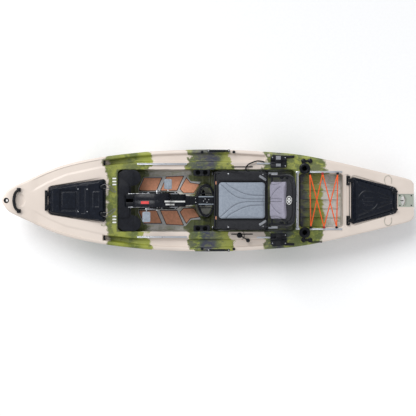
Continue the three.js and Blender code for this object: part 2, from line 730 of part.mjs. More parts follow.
function seatBackFrame() {
  const y = BACK_HALF;
  const hoop = tube([[0, -y, -12], [0, -y, 200], [2, -y, 330], [4, -y + 26, 392], [6, -y + 82, 418],
    [6, 0, 422], [6, y - 82, 418], [4, y - 26, 392], [2, y, 330], [0, y, 200], [0, y, -12]], 11, 32, 8);
  const lower = rod([0, -y, 34], [0, y, 34], 9, 12);
  const sockets = [-1, 1].map((side) => rod([0, side * 205, 0], [0, side * 239, 0], 5.4, 12));
  return leaned(cut(join(hoop, lower), ...sockets));
}

// A flat panel of the seat back, from height s0 to s1 and from n0 to n1 behind the hinge plane.
function backPanel(half, s0, s1, corner, n0, n1) {
  const geometry = geometryOf(plate(rectangle(s0, s1, half, corner), -n1, -n0));
  geometry.rotateY(-Math.PI / 2);
  return leaned(solid(geometry));
}

function armStrap(side) {
  return slab([[150, 488], [180, 484], [672, 690], [664, 714]], ...(side > 0 ? [271, 274] : [-274, -271]));
}

// ---------------------------------------------------------------- steering
function steeringLever() {
  const low = deckAt(LEVER.x, LEVER.y) + GAP + 2;
  const knob = [LEVER.x + 79, LEVER.y - 48];
  return join(rod([LEVER.x, LEVER.y, low], [LEVER.x, LEVER.y, low + 14], 15, 18),
    rod([LEVER.x, LEVER.y, low + 7], [knob[0], knob[1], low + 10], 5, 10),
    turned([[0, 2], [14, 2], [19, 8], [19, 20], [12, 28], [0, 28]], 18, [knob[0], knob[1], low]));
}

function rudderBlade() {
  const profile = [[1583, 14], [1596, 2], [1796, 2], [1810, 8], [1848, 100], [1840, RUDDER.top],
    [1590, RUDDER.top]];
  return slab(profile, -RUDDER.half, RUDDER.half);
}

function rudderStock() {
  const tiller = box(RUDDER.x - 8, RUDDER.x + 8, -52, 8, 160, 168);
  return join(rod([RUDDER.x, 0, RUDDER.top + GAP], [RUDDER.x, 0, 172], 6.4, 14), tiller);
}

function rudderBracket() {
  const block = box(1606, 1692, -16, 16, 119, 125);
  return cut(block, rod([RUDDER.x, 0, 110], [RUDDER.x, 0, 130], 7, 14));
}

function rudderCable() {
  return tube([[290, -324, 316], [420, -324, 300], [700, -330, 285], [890, -356, 270], [1000, -338, 262],
    [1200, -298, 250], [1300, -240, 240], [1450, -130, 212], [1600, -64, 178]], 3.5, 24, 6);
}

// ---------------------------------------------------------------- assembly
const group = new THREE.Group();
group.name = 'kayak';

function addPart(name, material, body, parent = group) {
  const mesh = new THREE.Mesh(geometryOf(body), material);
  mesh.name = name;
  parent.add(mesh);
  return mesh;
}

addPart('hull_shell', FINISH.hull, hullShell());
addPart('drain_plug', FINISH.blackPlastic, drainPlug());

addPart('front_hatch_gasket', FINISH.rubber, gasket(FRONT_HATCH));
addPart('rear_hatch_gasket', FINISH.rubber, gasket(REAR_HATCH));
addPart('front_hatch_lid', FINISH.blackPlastic, hatchLid(FRONT_HATCH, 52, 60, 449));
addPart('rear_hatch_lid', FINISH.blackPlastic, hatchLid(REAR_HATCH, 26, 186, 389));
addPart('front_hatch_hinge', FINISH.blackPlastic, hatchHinge(FRONT_HATCH, 60, 449, 432.4));
addPart('rear_hatch_hinge', FINISH.blackPlastic, hatchHinge(REAR_HATCH, 186, 389, 373));

const SIDES = [['port', -1], ['starboard', 1]];
SIDES.forEach(([name, side]) => {
  addPart(`front_hatch_latch_${name}`, FINISH.blackPlastic, turnLatch(-985, side * 125, 460.2));
  addPart(`rear_hatch_latch_${name}`, FINISH.blackPlastic, turnLatch(1722, side * 84, 360));
  addPart(`gear_track_${name}`, FINISH.aluminium, gearTrack(-665, -200, side * 340, 16));
  addPart(`well_track_${name}`, FINISH.aluminium, gearTrack(943, 1245, side * 266, 16));
  addPart(`foot_mat_${name}`, FINISH.footPad, footMat(side));
  addPart(`rod_holder_cup_${name}`, FINISH.blackPlastic, rodCup(side));
  addPart(`shaft_keeper_${name}`, FINISH.blackPlastic, shaftKeeper(side));
  addPart(`cup_holder_${name}`, FINISH.blackPlastic, cupHolder(side));
  addPart(`side_handle_${name}`, FINISH.blackPlastic, sideHandle(side));
  addPart(`seat_rail_${name}`, FINISH.aluminium,
    box(34, 650, side * SEAT.half - 13, side * SEAT.half + 13, SEAT_FLOOR + GAP, SEAT.railTop));
  addPart(`drive_cover_${name}`, FINISH.blackPlastic, housingHalf(side));
  addPart(`crank_arm_${name}`, FINISH.steel, crankArm(side));
  addPart(`pedal_${name}`, FINISH.greyPlastic, pedal(side));
  addPart(`seat_arm_strap_${name}`, FINISH.webbing, armStrap(side));
});

addPart('bow_handle', FINISH.rubber, bowHandle());
addPart('well_cover', FINISH.blackPlastic, wellCover());
addPart('rear_crossbar', FINISH.aluminium, crossbar());
addPart('tank_bungee', FINISH.bungee, tankBungee());

addPart('drive_mount', FINISH.blackPlastic, driveMount());
addPart('drive_base', FINISH.blackPlastic, driveBase());
addPart('crank_axle', FINISH.steel, crankAxle());
addPart('crown_wheel', FINISH.steel, crownWheel());
addPart('pinion', FINISH.steel, pinion());
addPart('drive_shaft_sleeve', FINISH.rubber, shaftSleeve());
addPart('leg_pivot_pin', FINISH.steel,
  rod([LEG_PIVOT.x, -34, LEG_PIVOT.z], [LEG_PIVOT.x, 34, LEG_PIVOT.z], 8, 16));
addPart('drive_leg', FINISH.blackPlastic, driveLeg());
addPart('propeller', FINISH.blackPlastic, propeller());

addPart('seat_frame', FINISH.blackTube, seatFrame());
addPart('seat_sling', FINISH.webbing, seatSling());
addPart('seat_cushion', FINISH.fabric, seatCushion());
addPart('seat_back_frame', FINISH.blackTube, seatBackFrame());
addPart('seat_back_panel', FINISH.webbing, backPanel(188, 48, 370, 30, -1, 3));
addPart('seat_back_cushion', FINISH.fabric, backPanel(178, 46, 386, 50, -32, -1.5));

addPart('steering_lever', FINISH.blackPlastic, steeringLever());
addPart('rudder_bracket', FINISH.blackPlastic, rudderBracket());
addPart('rudder_blade', FINISH.blackPlastic, rudderBlade());
addPart('rudder_stock', FINISH.steel, rudderStock());
addPart('rudder_cable', FINISH.rubber, rudderCable());

export default group;
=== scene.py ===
import json
import math

import bmesh
import bpy
import numpy as np
from mathutils import Matrix, Vector

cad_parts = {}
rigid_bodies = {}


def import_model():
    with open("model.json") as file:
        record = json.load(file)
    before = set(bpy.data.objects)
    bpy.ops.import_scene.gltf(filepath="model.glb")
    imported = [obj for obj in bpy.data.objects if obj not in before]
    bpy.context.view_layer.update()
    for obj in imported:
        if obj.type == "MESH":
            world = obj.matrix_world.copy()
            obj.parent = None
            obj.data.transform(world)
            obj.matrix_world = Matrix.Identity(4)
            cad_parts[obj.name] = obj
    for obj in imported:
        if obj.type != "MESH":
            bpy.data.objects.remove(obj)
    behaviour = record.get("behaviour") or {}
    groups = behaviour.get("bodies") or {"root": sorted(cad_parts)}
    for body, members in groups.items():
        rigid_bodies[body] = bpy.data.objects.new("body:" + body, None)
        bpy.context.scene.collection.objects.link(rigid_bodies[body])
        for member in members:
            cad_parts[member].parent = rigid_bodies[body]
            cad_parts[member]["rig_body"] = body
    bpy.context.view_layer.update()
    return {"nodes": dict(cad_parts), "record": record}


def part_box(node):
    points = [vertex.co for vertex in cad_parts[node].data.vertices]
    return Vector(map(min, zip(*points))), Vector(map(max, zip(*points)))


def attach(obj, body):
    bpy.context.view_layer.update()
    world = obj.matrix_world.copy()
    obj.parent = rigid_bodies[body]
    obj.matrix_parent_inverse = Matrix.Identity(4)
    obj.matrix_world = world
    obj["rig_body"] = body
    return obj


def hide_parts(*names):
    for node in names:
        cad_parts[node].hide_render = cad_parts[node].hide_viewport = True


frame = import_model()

MM = 0.001
SIDES = ((1, "starboard"), (-1, "port"))
NODES = frame["nodes"]


# ------------------------------------------------------------------ small maths
def smooth(t):
    t = np.clip(t, 0.0, 1.0)
    return t * t * (3 - 2 * t)


def sd_box(x, y, cx, cy, hx, hy, r):
    """Signed distance to a rectangle with rounded corners, in the plane."""
    qx = np.abs(x - cx) - (hx - r)
    qy = np.abs(y - cy) - (hy - r)
    return np.hypot(np.maximum(qx, 0), np.maximum(qy, 0)) + np.minimum(np.maximum(qx, qy), 0) - r


def sd_ellipse(x, y, cx, cy, rx, ry):
    px, py = (x - cx) / rx, (y - cy) / ry
    k = np.hypot(px, py) + 1e-9
    slope = np.hypot(px / rx, py / ry) + 1e-9
    return k * (k - 1) / slope


def sd_polygon(x, y, points, r=0.0):
    """Signed distance to a polygon, its corners rounded by r."""
    best = np.full(x.shape, 1e18)
    inside = np.zeros(x.shape, dtype=bool)
    for (ax, ay), (bx, by) in zip(points, points[1:] + points[:1]):
        ex, ey = bx - ax, by - ay
        wx, wy = x - ax, y - ay
        t = np.clip((wx * ex + wy * ey) / (ex * ex + ey * ey), 0, 1)
        best = np.minimum(best, (wx - ex * t) ** 2 + (wy - ey * t) ** 2)
        crosses = ((ay > y) != (by > y)) & (x < (bx - ax) * (y - ay) / (by - ay + 1e-12) + ax)
        inside ^= crosses
    return np.where(inside, -1, 1) * np.sqrt(best) - r


def sink(z, sd, floor, wall):
    """Lowers z to floor inside an outline, down a soft wall of the given run."""
    return z + (np.minimum(floor, z) - z) * smooth(-sd / wall)


def lift(z, sd, top, wall):
    return z + (np.maximum(top, z) - z) * smooth(-sd / wall)


# ------------------------------------------------------------------ mesh helpers
def link(obj):
    bpy.context.scene.collection.objects.link(obj)
    return obj


def mesh_object(name, verts_mm, faces, material=None, angle=40):
    mesh = bpy.data.meshes.new(name)
    mesh.from_pydata([tuple(float(c) * MM for c in v) for v in verts_mm], [], faces)
    mesh.update()
    obj = link(bpy.data.objects.new(name, mesh))
    soften(obj, angle)
    if material:
        mesh.materials.append(material)
    return obj


def soften(obj, angle=40):
    """Smooth shading with edges over the angle kept sharp."""
    mesh = obj.data
    mesh.polygons.foreach_set("use_smooth", [True] * len(mesh.polygons))
    mesh.set_sharp_from_angle(angle=math.radians(angle))


def apply_modifiers(obj):
    bpy.context.view_layer.update()
    graph = bpy.context.evaluated_depsgraph_get()
    mesh = bpy.data.meshes.new_from_object(obj.evaluated_get(graph))
    old = obj.data
    obj.modifiers.clear()
    obj.data = mesh
    bpy.data.meshes.remove(old)
    return obj


def outward(obj):
    bm = bmesh.new()
    bm.from_mesh(obj.data)
    bmesh.ops.recalc_face_normals(bm, faces=bm.faces)
    bm.to_mesh(obj.data)
    bm.free()
    return obj


def rounded_edges(obj, width_mm, segments=3, angle=35):
    mod = obj.modifiers.new("edges", "BEVEL")
    mod.width = width_mm * MM
    mod.segments = segments
    mod.limit_method = "ANGLE"
    mod.angle_limit = math.radians(angle)
    apply_modifiers(obj)
    soften(obj, 50)
    return obj


def arc_corners(corners, radius, steps=5):
    """Polygon corners, each rounded; radius may be one number or one a corner."""
    points = []
    count = len(corners)
    for i, corner in enumerate(corners):
        r = radius[i] if isinstance(radius, (list, tuple)) else radius
        here = Vector(corner)
        before = Vector(corners[i - 1]) - here
        after = Vector(corners[(i + 1) % count]) - here
        half = before.angle(after) / 2
        reach = min(r / math.tan(half), before.length * 0.48, after.length * 0.48)
        a = here + before.normalized() * reach
        b = here + after.normalized() * reach
        for k in range(steps + 1):
            t = k / steps
            p = a * (1 - t) ** 2 + here * 2 * t * (1 - t) + b * t * t
            points.append((p.x, p.y))
    return points


def ellipse_points(cx, cy, rx, ry, count=48):
    return [(cx + rx * math.cos(2 * math.pi * i / count), cy + ry * math.sin(2 * math.pi * i / count))
            for i in range(count)]


def prism(name, outline, low, high, material=None, plane="XY", edge=0.0, segments=3):
    """An outline carried along the third axis; edge rounds its rims."""
    def place(p, h):
        return (p[0], p[1], h) if plane == "XY" else (p[0], h, p[1])
    count = len(outline)
    verts = [place(p, low) for p in outline] + [place(p, high) for p in outline]
    faces = [tuple(range(count)), tuple(range(count, 2 * count))]
    faces += [(i, (i + 1) % count, count + (i + 1) % count, count + i) for i in range(count)]
    obj = outward(mesh_object(name, verts, faces, material))
    if edge:
        rounded_edges(obj, edge, segments, 50)
    return obj


def block(name, x0, x1, y0, y1, z0, z1, material=None, edge=2.0, segments=3):
    return prism(name, [(x0, y0), (x1, y0), (x1, y1), (x0, y1)], z0, z1, material, "XY", edge, segments)


def smooth_path(points, per_span=10):
    """Points along a centripetal Catmull-Rom curve."""
    pts = [Vector(p) for p in points]
    ring = [pts[0] * 2 - pts[1]] + pts + [pts[-1] * 2 - pts[-2]]
    out = []
    for i in range(1, len(ring) - 2):
        p0, p1, p2, p3 = ring[i - 1:i + 3]
        t0 = 0.0
        t1 = t0 + max((p1 - p0).length, 1e-6) ** 0.5
        t2 = t1 + max((p2 - p1).length, 1e-6) ** 0.5
        t3 = t2 + max((p3 - p2).length, 1e-6) ** 0.5
        for k in range(per_span):
            t = t1 + (t2 - t1) * k / per_span
            a1 = p0 * ((t1 - t) / (t1 - t0)) + p1 * ((t - t0) / (t1 - t0))
            a2 = p1 * ((t2 - t) / (t2 - t1)) + p2 * ((t - t1) / (t2 - t1))
            a3 = p2 * ((t3 - t) / (t3 - t2)) + p3 * ((t - t2) / (t3 - t2))
            b1 = a1 * ((t2 - t) / (t2 - t0)) + a2 * ((t - t0) / (t2 - t0))
            b2 = a2 * ((t3 - t) / (t3 - t1)) + a3 * ((t - t1) / (t3 - t1))
            out.append(b1 * ((t2 - t) / (t2 - t1)) + b2 * ((t - t1) / (t2 - t1)))
    out.append(pts[-1])
    return out


def sweep(name, path, section, material=None, closed=False, up=Vector((0, 0, 1)), angle=40):
    """A section of (side, up) points carried along a path of points."""
    path = [Vector(p) for p in path]
    count, sides = len(path), len(section)
    verts, faces = [], []
    for i, p in enumerate(path):
        after = path[(i + 1) % count] if closed or i + 1 < count else p
        before = path[i - 1] if closed or i else p
        ahead = (after - before).normalized()
        side = ahead.cross(up)
        side = side.normalized() if side.length > 1e-4 else Vector((0, 1, 0))
        top = side.cross(ahead).normalized()
        verts += [p + side * s + top * u for s, u in section]
    spans = count if closed else count - 1
    for i in range(spans):
        a, b = i * sides, ((i + 1) % count) * sides
        faces += [(a + j, a + (j + 1) % sides, b + (j + 1) % sides, b + j) for j in range(sides)]
    if not closed:
        faces.append(tuple(range(sides)))
        faces.append(tuple((count - 1) * sides + j for j in range(sides)))
    return outward(mesh_object(name, verts, faces, material, angle))


def round_section(radius, sides=16):
    return [(radius * math.cos(2 * math.pi * i / sides), radius * math.sin(2 * math.pi * i / sides))
            for i in range(sides)]


def tube(name, points, radius, material=None, per_span=8, sides=16, up=Vector((0, 0, 1))):
    return sweep(name, smooth_path(points, per_span), round_section(radius, sides), material, up=up)


def turned(name, profile, centre, axis="Z", material=None, sides=40, angle=40):
    """A profile of (radius, height) turned about an axis; it starts and ends on the axis."""
    verts, faces, rings = [], [], []
    for r, h in profile:
        if r < 1e-6:
            rings.append([len(verts)])
            verts.append((0, 0, h))
        else:
            rings.append(list(range(len(verts), len(verts) + sides)))
            verts += [(r * math.cos(2 * math.pi * k / sides), r * math.sin(2 * math.pi * k / sides), h)
                      for k in range(sides)]
    for a, b in zip(rings, rings[1:]):
        for k in range(sides):
            quad = [a[k % len(a)], a[(k + 1) % len(a)], b[(k + 1) % len(b)], b[k % len(b)]]
            quad = list(dict.fromkeys(quad))
            if len(quad) > 2:
                faces.append(tuple(quad))
    turn = {"Z": Matrix.Identity(3), "X": Matrix.Rotation(math.pi / 2, 3, "Y"),
            "Y": Matrix.Rotation(-math.pi / 2, 3, "X")}[axis]
    verts = [turn @ Vector(v) + Vector(centre) for v in verts]
    return outward(mesh_object(name, verts, faces, material, angle))


def fuse(name, objects):
    """Joins objects into one piece without welding them."""
    target = objects[0]
    bm = bmesh.new()
    for obj in objects:
        bm.from_mesh(obj.data)
    mesh = bpy.data.meshes.new(name)
    bm.to_mesh(mesh)
    bm.free()
    for slot in target.data.materials:
        mesh.materials.append(slot)
    for obj in objects:
        bpy.data.objects.remove(obj)
    fused = link(bpy.data.objects.new(name, mesh))
    soften(fused, 45)
    return fused


def carve(obj, cutter):
    mod = obj.modifiers.new("cut", "BOOLEAN")
    mod.operation = "DIFFERENCE"
    mod.solver = "EXACT"
    mod.object = cutter
    apply_modifiers(obj)
    bpy.data.objects.remove(cutter)
    soften(obj, 45)
    return obj


# ------------------------------------------------------------------ materials
class Surface:
    """A node material with its own noise for colour, sheen and relief."""

    def __init__(self, name):
        self.mat = bpy.data.materials.new(name)
        self.mat.use_nodes = True
        self.nodes = self.mat.node_tree.nodes
        self.links = self.mat.node_tree.links
        self.shader = self.nodes["Principled BSDF"]
        self.place = self.nodes.new("ShaderNodeTexCoord").outputs["Object"]

    def add(self, kind, **sockets):
        node = self.nodes.new("ShaderNode" + kind)
        for key, value in sockets.items():
            self.feed(node.inputs[key], value)
        return node

    def feed(self, target, value):
        if isinstance(value, bpy.types.NodeSocket):
            self.links.new(value, target)
        else:
            target.default_value = value

    def noise(self, scale, detail=3.0, rough=0.55, place=None):
        node = self.add("TexNoise", Vector=place or self.place, Scale=scale, Detail=detail, Roughness=rough)
        return node.outputs[0]

    def math(self, operation, a, b=0.0, clamp=False):
        node = self.nodes.new("ShaderNodeMath")
        node.operation = operation
        node.use_clamp = clamp
        for target, value in zip(node.inputs, (a, b)):
            self.feed(target, value)
        return node.outputs[0]

    def times(self, a, b):
        return self.math("MULTIPLY", a, b)

    def plus(self, a, b, clamp=False):
        return self.math("ADD", a, b, clamp=clamp)

    def spread(self, value, low, high, out_low=0.0, out_high=1.0):
        node = self.nodes.new("ShaderNodeMapRange")
        node.interpolation_type = "SMOOTHSTEP"
        for target, v in zip(node.inputs, (value, low, high, out_low, out_high)):
            self.feed(target, v)
        return node.outputs[0]

    def mix(self, factor, a, b, mode="MIX"):
        node = self.nodes.new("ShaderNodeMix")
        node.data_type = "RGBA"
        node.blend_type = mode
        self.feed(node.inputs["Factor"], factor)
        for target, v in ((node.inputs[6], a), (node.inputs[7], b)):
            self.feed(target, v if isinstance(v, bpy.types.NodeSocket) else (*v[:3], 1.0))
        return node.outputs[2]

    def split(self):
        node = self.add("SeparateXYZ", Vector=self.place)
        return node.outputs[0], node.outputs[1], node.outputs[2]

    def bump(self, height, strength, distance=0.001):
        node = self.add("Bump", Height=height, Strength=strength, Distance=distance)
        self.links.new(node.outputs[0], self.shader.inputs["Normal"])

    def finish(self, colour, rough, rough_vary=0.08, metal=0.0, shine=0.5):
        self.shader.inputs["Specular IOR Level"].default_value = shine
        self.feed(self.shader.inputs["Base Color"], colour)
        self.feed(self.shader.inputs["Roughness"], self.spread(
            self.noise(30.0, 4.0), 0.25, 0.75, rough - rough_vary, rough + rough_vary))
        self.shader.inputs["Metallic"].default_value = metal
        return self.mat


def plain(name, colour, rough, metal=0.0, vary=0.12, scale=45.0, grain=900.0, relief=0.15, specks=None):
    """Moulded or coated finish: drifting tone, fine grain, and specks of a second colour if given."""
    s = Surface(name)
    dark = tuple(c * (1 - vary) for c in colour)
    light = tuple(min(1.0, c * (1 + vary)) for c in colour)
    tone = s.mix(s.spread(s.noise(scale, 5.0), 0.3, 0.7), dark, light)
    if specks:
        tone = s.mix(s.spread(s.noise(grain * 0.45, 2.0), 0.6, 0.68), tone, specks)
    s.bump(s.noise(grain, 2.0), relief, 0.0006)
    return s.finish(tone, rough, 0.08, metal, shine=0.22 if max(colour) < 0.03 else 0.5)


def weave(name, colour, dark, pitch=0.0022, relief=0.6):
    """Woven cloth: two crossed sets of threads, with a drifting tone."""
    s = Surface(name)
    x, y, z = s.split()
    warp = s.math("SINE", s.times(s.plus(x, z), 2 * math.pi / pitch))
    weft = s.math("SINE", s.times(s.math("SUBTRACT", y, z), 2 * math.pi / pitch))
    thread = s.spread(s.times(warp, weft), -1.0, 1.0)
    tone = s.mix(s.times(thread, 0.5), colour, dark)
    tone = s.mix(s.spread(s.noise(60.0, 5.0), 0.35, 0.7), tone, s.mix(0.5, tone, dark))
    s.bump(thread, relief, 0.0006)
    return s.finish(tone, 0.92, 0.05)


CREAM = (0.72, 0.63, 0.56)
OLIVE = (0.085, 0.115, 0.018)
GREEN = (0.29, 0.32, 0.04)
NAVY = (0.018, 0.023, 0.056)
PALE = (0.60, 0.58, 0.55)
SHADE = (0.045, 0.062, 0.016)


def hull_finish():
    """Rotomoulded plastic, blotched by bands along the hull with splattered edges."""
    s = Surface("hull_plastic")
    x, y, z = s.split()
    warp = s.times(s.math("SUBTRACT", s.noise(7.0, 2.0), 0.5), 0.26)
    torn = s.times(s.math("SUBTRACT", s.noise(38.0, 4.0, 0.7), 0.5), 0.10)
    along = s.plus(x, s.plus(warp, torn))

    def ramp_of(stops):
        ramp = s.nodes.new("ShaderNodeValToRGB")
        elements = ramp.color_ramp.elements
        while len(elements) > 1:
            elements.remove(elements[-1])
        elements[0].position = 0.0
        elements[0].color = (*stops[0][1], 1)
        for at, colour in stops[1:]:
            elements.new((at + 1920) / 3840).color = (*colour, 1)
        s.feed(ramp.inputs[0], s.math("DIVIDE", s.plus(along, 1.92), 3.84))
        return ramp.outputs[0]

    def bands(stops):
        """Colour and blotch mask; plain plastic ends at a torn edge, blotches fade into each other."""
        weight = {CREAM: 0.0, PALE: 0.0, NAVY: 0.35}
        colours, mask = [stops[0]], [(stops[0][0], (0, 0, 0))]
        for (_, before), (at, after) in zip(stops, stops[1:]):
            worn, fresh = weight.get(before, 1.0), weight.get(after, 1.0)
            if not worn or not fresh:
                colours += [(at - 5, before), (at + 5, after)]
                mask += [(at - 5, (worn,) * 3), (at + 5, (fresh,) * 3)]
            else:
                colours.append((at + 30, after))
                mask.append((at + 30, (fresh,) * 3))
        return ramp_of(colours), ramp_of(mask)

    deck = bands([(-1920, CREAM), (-945, OLIVE), (-860, GREEN), (-745, OLIVE), (-640, GREEN), (-545, CREAM),
                  (-175, OLIVE), (-95, NAVY), (10, NAVY), (60, OLIVE), (130, GREEN), (215, CREAM), (545, OLIVE),
                  (640, NAVY), (720, OLIVE), (830, GREEN), (960, OLIVE), (1065, CREAM)])
    side = bands([(-1920, CREAM), (-1197, GREEN), (-1110, OLIVE), (-980, NAVY), (-860, OLIVE), (-745, CREAM),
                  (-250, OLIVE), (-170, NAVY), (-90, OLIVE), (-30, CREAM), (525, GREEN), (620, OLIVE),
                  (740, NAVY), (850, OLIVE), (965, CREAM)])
    under = bands([(-1920, CREAM), (-1215, GREEN), (-1190, OLIVE), (-1130, NAVY), (-1010, NAVY), (-940, OLIVE),
                   (-870, CREAM), (-451, GREEN), (-400, OLIVE), (-350, NAVY), (-190, NAVY), (-110, OLIVE),
                   (0, GREEN), (183, CREAM), (500, GREEN), (640, OLIVE), (770, OLIVE), (800, NAVY),
                   (900, NAVY), (960, OLIVE), (1060, GREEN), (1208, CREAM)])
    height = s.plus(z, s.times(s.math("SUBTRACT", s.noise(24.0, 3.0), 0.5), 0.05))
    low, high = s.spread(height, 0.105, 0.112), s.spread(height, 0.285, 0.292)
    tone = s.mix(high, s.mix(low, under[0], side[0]), deck[0])
    blotch = s.mix(high, s.mix(low, under[1], side[1]), deck[1])
    half = s.math("ABSOLUTE", y)
    inside = s.times(s.spread(half, 0.296, 0.286), s.times(s.spread(x, -0.86, -0.85), s.spread(x, 0.82, 0.81)))
    inside = s.times(inside, s.spread(z, 0.12, 0.13))
    well = ramp_of([(-1920, OLIVE), (-720, SHADE), (-590, OLIVE), (-560, PALE), (-190, PALE), (-160, OLIVE),
                    (-60, SHADE), (120, SHADE), (330, OLIVE), (520, SHADE), (700, NAVY), (807, OLIVE)])
    tone = s.mix(inside, tone, well)
    tank = s.times(s.spread(half, 0.256, 0.248), s.times(s.spread(x, 0.838, 0.846), s.spread(x, 1.262, 1.254)))
    tank = s.times(s.times(tank, s.spread(z, 0.345, 0.335)), s.spread(z, 0.218, 0.222))
    tone = s.mix(tank, tone, ramp_of([(-1920, NAVY), (880, NAVY), (930, OLIVE), (1060, GREEN), (1072, PALE)]))
    blotch = s.mix(s.plus(inside, tank, clamp=True), blotch, (0.35, 0.35, 0.35))
    tail = s.times(s.spread(x, 1.766, 1.774), s.spread(half, 0.064, 0.058))
    tail = s.times(tail, s.spread(z, 0.285, 0.290))
    tone = s.mix(tail, tone, (0.36, 0.40, 0.34))
    streak = s.add("Mapping", Vector=s.place, Scale=(1.0, 2.4, 2.4)).outputs[0]
    light = s.times(s.spread(s.noise(13.0, 6.0, 0.68, streak), 0.50, 0.60), 0.85)
    dark = s.times(s.spread(s.noise(9.0, 5.0, 0.7), 0.50, 0.60), 0.9)
    tone = s.mix(s.times(light, blotch), tone, GREEN)
    tone = s.mix(s.times(dark, blotch), tone, OLIVE)
    fleck = s.spread(s.noise(150.0, 4.0, 0.75), 0.60, 0.66)
    tone = s.mix(s.times(s.times(fleck, 0.5), blotch), tone, (0.55, 0.52, 0.28))
    tone = s.mix(s.spread(s.noise(3.5, 3.0), 0.35, 0.75, 0.0, 0.14), tone, (0.40, 0.33, 0.27))
    s.bump(s.plus(s.times(s.noise(14.0, 3.0), 1.5), s.times(s.noise(700.0, 2.0), 0.25)),
           0.35, 0.0012)
    s.shader.inputs["Coat Weight"].default_value = 0.12
    s.shader.inputs["Coat Roughness"].default_value = 0.3
    return s.finish(tone, 0.42, 0.07)


HULL = hull_finish()
BLACK = plain("black_plastic", (0.005, 0.006, 0.009), 0.3, grain=1400.0, relief=0.25, vary=0.3)
GLOSS = plain("black_gloss", (0.007, 0.008, 0.012), 0.22, grain=700.0, relief=0.06, vary=0.3)
GRAIN = plain("black_grain", (0.007, 0.008, 0.012), 0.42, grain=520.0, relief=0.6, vary=0.3, specks=(0.03, 0.03, 0.035))
LID = plain("lid_plastic", (0.005, 0.007, 0.013), 0.24, grain=900.0, relief=0.2, vary=0.25,
            specks=(0.010, 0.012, 0.017))
RUBBER = plain("black_rubber", (0.014, 0.014, 0.015), 0.8, grain=1100.0, relief=0.3, vary=0.3)
FOAM = plain("foot_foam", (0.68, 0.32, 0.20), 0.95, grain=420.0, relief=0.8, vary=0.10, specks=(0.55, 0.22, 0.12))
FOAM_BASE = plain("foam_base", (0.55, 0.55, 0.56), 0.95, grain=420.0, relief=0.6)
ALLOY = plain("track_aluminium", (0.62, 0.64, 0.68), 0.34, 1.0, vary=0.08, scale=200.0, grain=1600.0, relief=0.1)
STEEL = plain("drive_steel", (0.55, 0.56, 0.58), 0.26, 1.0, vary=0.10, scale=150.0, grain=1300.0, relief=0.08)
TUBE = plain("seat_tube", (0.020, 0.021, 0.026), 0.38, 0.4, vary=0.3, grain=1500.0, relief=0.12)
CLOTH = weave("seat_fabric", (0.32, 0.36, 0.42), (0.20, 0.23, 0.28))
CLOTH_BACK = weave("seat_fabric_back", (0.36, 0.345, 0.42), (0.22, 0.21, 0.27))
CLOTH_DARK = weave("seat_fabric_dark", (0.024, 0.025, 0.03), (0.010, 0.010, 0.012), pitch=0.003)
WEBBING = weave("seat_webbing", (0.022, 0.023, 0.027), (0.008, 0.008, 0.010), pitch=0.0028, relief=0.8)
GREY_STRAP = weave("grey_webbing", (0.30, 0.31, 0.33), (0.18, 0.19, 0.21), pitch=0.0028, relief=0.8)
PEDAL = plain("pedal_grey", (0.245, 0.285, 0.335), 0.6, grain=380.0, relief=0.5, vary=0.12, specks=(0.42, 0.46, 0.50))
RED = plain("bungee_red", (0.90, 0.13, 0.02), 0.6, grain=1500.0, relief=0.5, vary=0.12, specks=(0.75, 0.05, 0.01))
MARK_RED = plain("mark_red", (0.60, 0.03, 0.03), 0.4)
DARK_RED = plain("dark_red_plastic", (0.30, 0.012, 0.012), 0.4, specks=(0.2, 0.01, 0.01))
PLAIN_RIM = plain("rim_plastic", (0.36, 0.40, 0.34), 0.5, vary=0.12, specks=(0.42, 0.46, 0.40))
WHITE = plain("mark_white", (0.80, 0.80, 0.78), 0.45, vary=0.05)
THREAD = plain("seam_thread", (0.07, 0.075, 0.09), 0.9, grain=2200.0, relief=0.5)
CORD_PALE = plain("cord_pale", (0.46, 0.44, 0.38), 0.7, grain=1400.0, relief=0.5, vary=0.2, specks=(0.3, 0.28, 0.24))
CORD = weave("grey_cord", (0.20, 0.20, 0.21), (0.08, 0.08, 0.085), pitch=0.0018)
FINISHES = {"hull_plastic": HULL, "black_plastic": BLACK, "black_rubber": RUBBER, "foot_foam": FOAM,
            "track_aluminium": ALLOY, "drive_steel": STEEL, "seat_tube": TUBE, "seat_fabric": CLOTH,
            "seat_webbing": WEBBING, "pedal_grey": PEDAL, "bungee_red": RED}


# ------------------------------------------------------------------ pieces on the frame
def fit(obj, body, slot_name, *nodes):
    """The piece rides on its body and stands for the given nodes; a piece with no material takes the named slot's
    finish.
    """
    if obj.data.materials and not obj.data.materials[0]:
        obj.data.materials.clear()
    if not obj.data.materials:
        obj.data.materials.append(FINISHES[slot_name])
    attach(obj, body)
    if nodes:
        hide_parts(*nodes)
    return obj


def bare_copy(node, name):
    """A new object with a node's shape, its coincident points welded."""
    bm = bmesh.new()
    bm.from_mesh(NODES[node].data)
    bmesh.ops.remove_doubles(bm, verts=bm.verts, dist=1e-6)
    bmesh.ops.dissolve_limit(bm, angle_limit=math.radians(0.5), verts=bm.verts, edges=bm.edges)
    mesh = bpy.data.meshes.new(name)
    bm.to_mesh(mesh)
    bm.free()
    return link(bpy.data.objects.new(name, mesh))


def refined(node, slot_name, edge=1.2, material=None, segments=2):
    """A node's shape with its edges rounded."""
    obj = bare_copy(node, node + "_look")
    if edge:
        mod = obj.modifiers.new("edges", "BEVEL")
        mod.width = edge * MM
        mod.segments = segments
        mod.limit_method = "ANGLE"
        mod.angle_limit = math.radians(38)
        mod.use_clamp_overlap = True
        apply_modifiers(obj)
    soften(obj, 42)
    obj.data.materials.append(material or FINISHES[slot_name])
    return fit(obj, NODES[node]["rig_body"], slot_name, node)


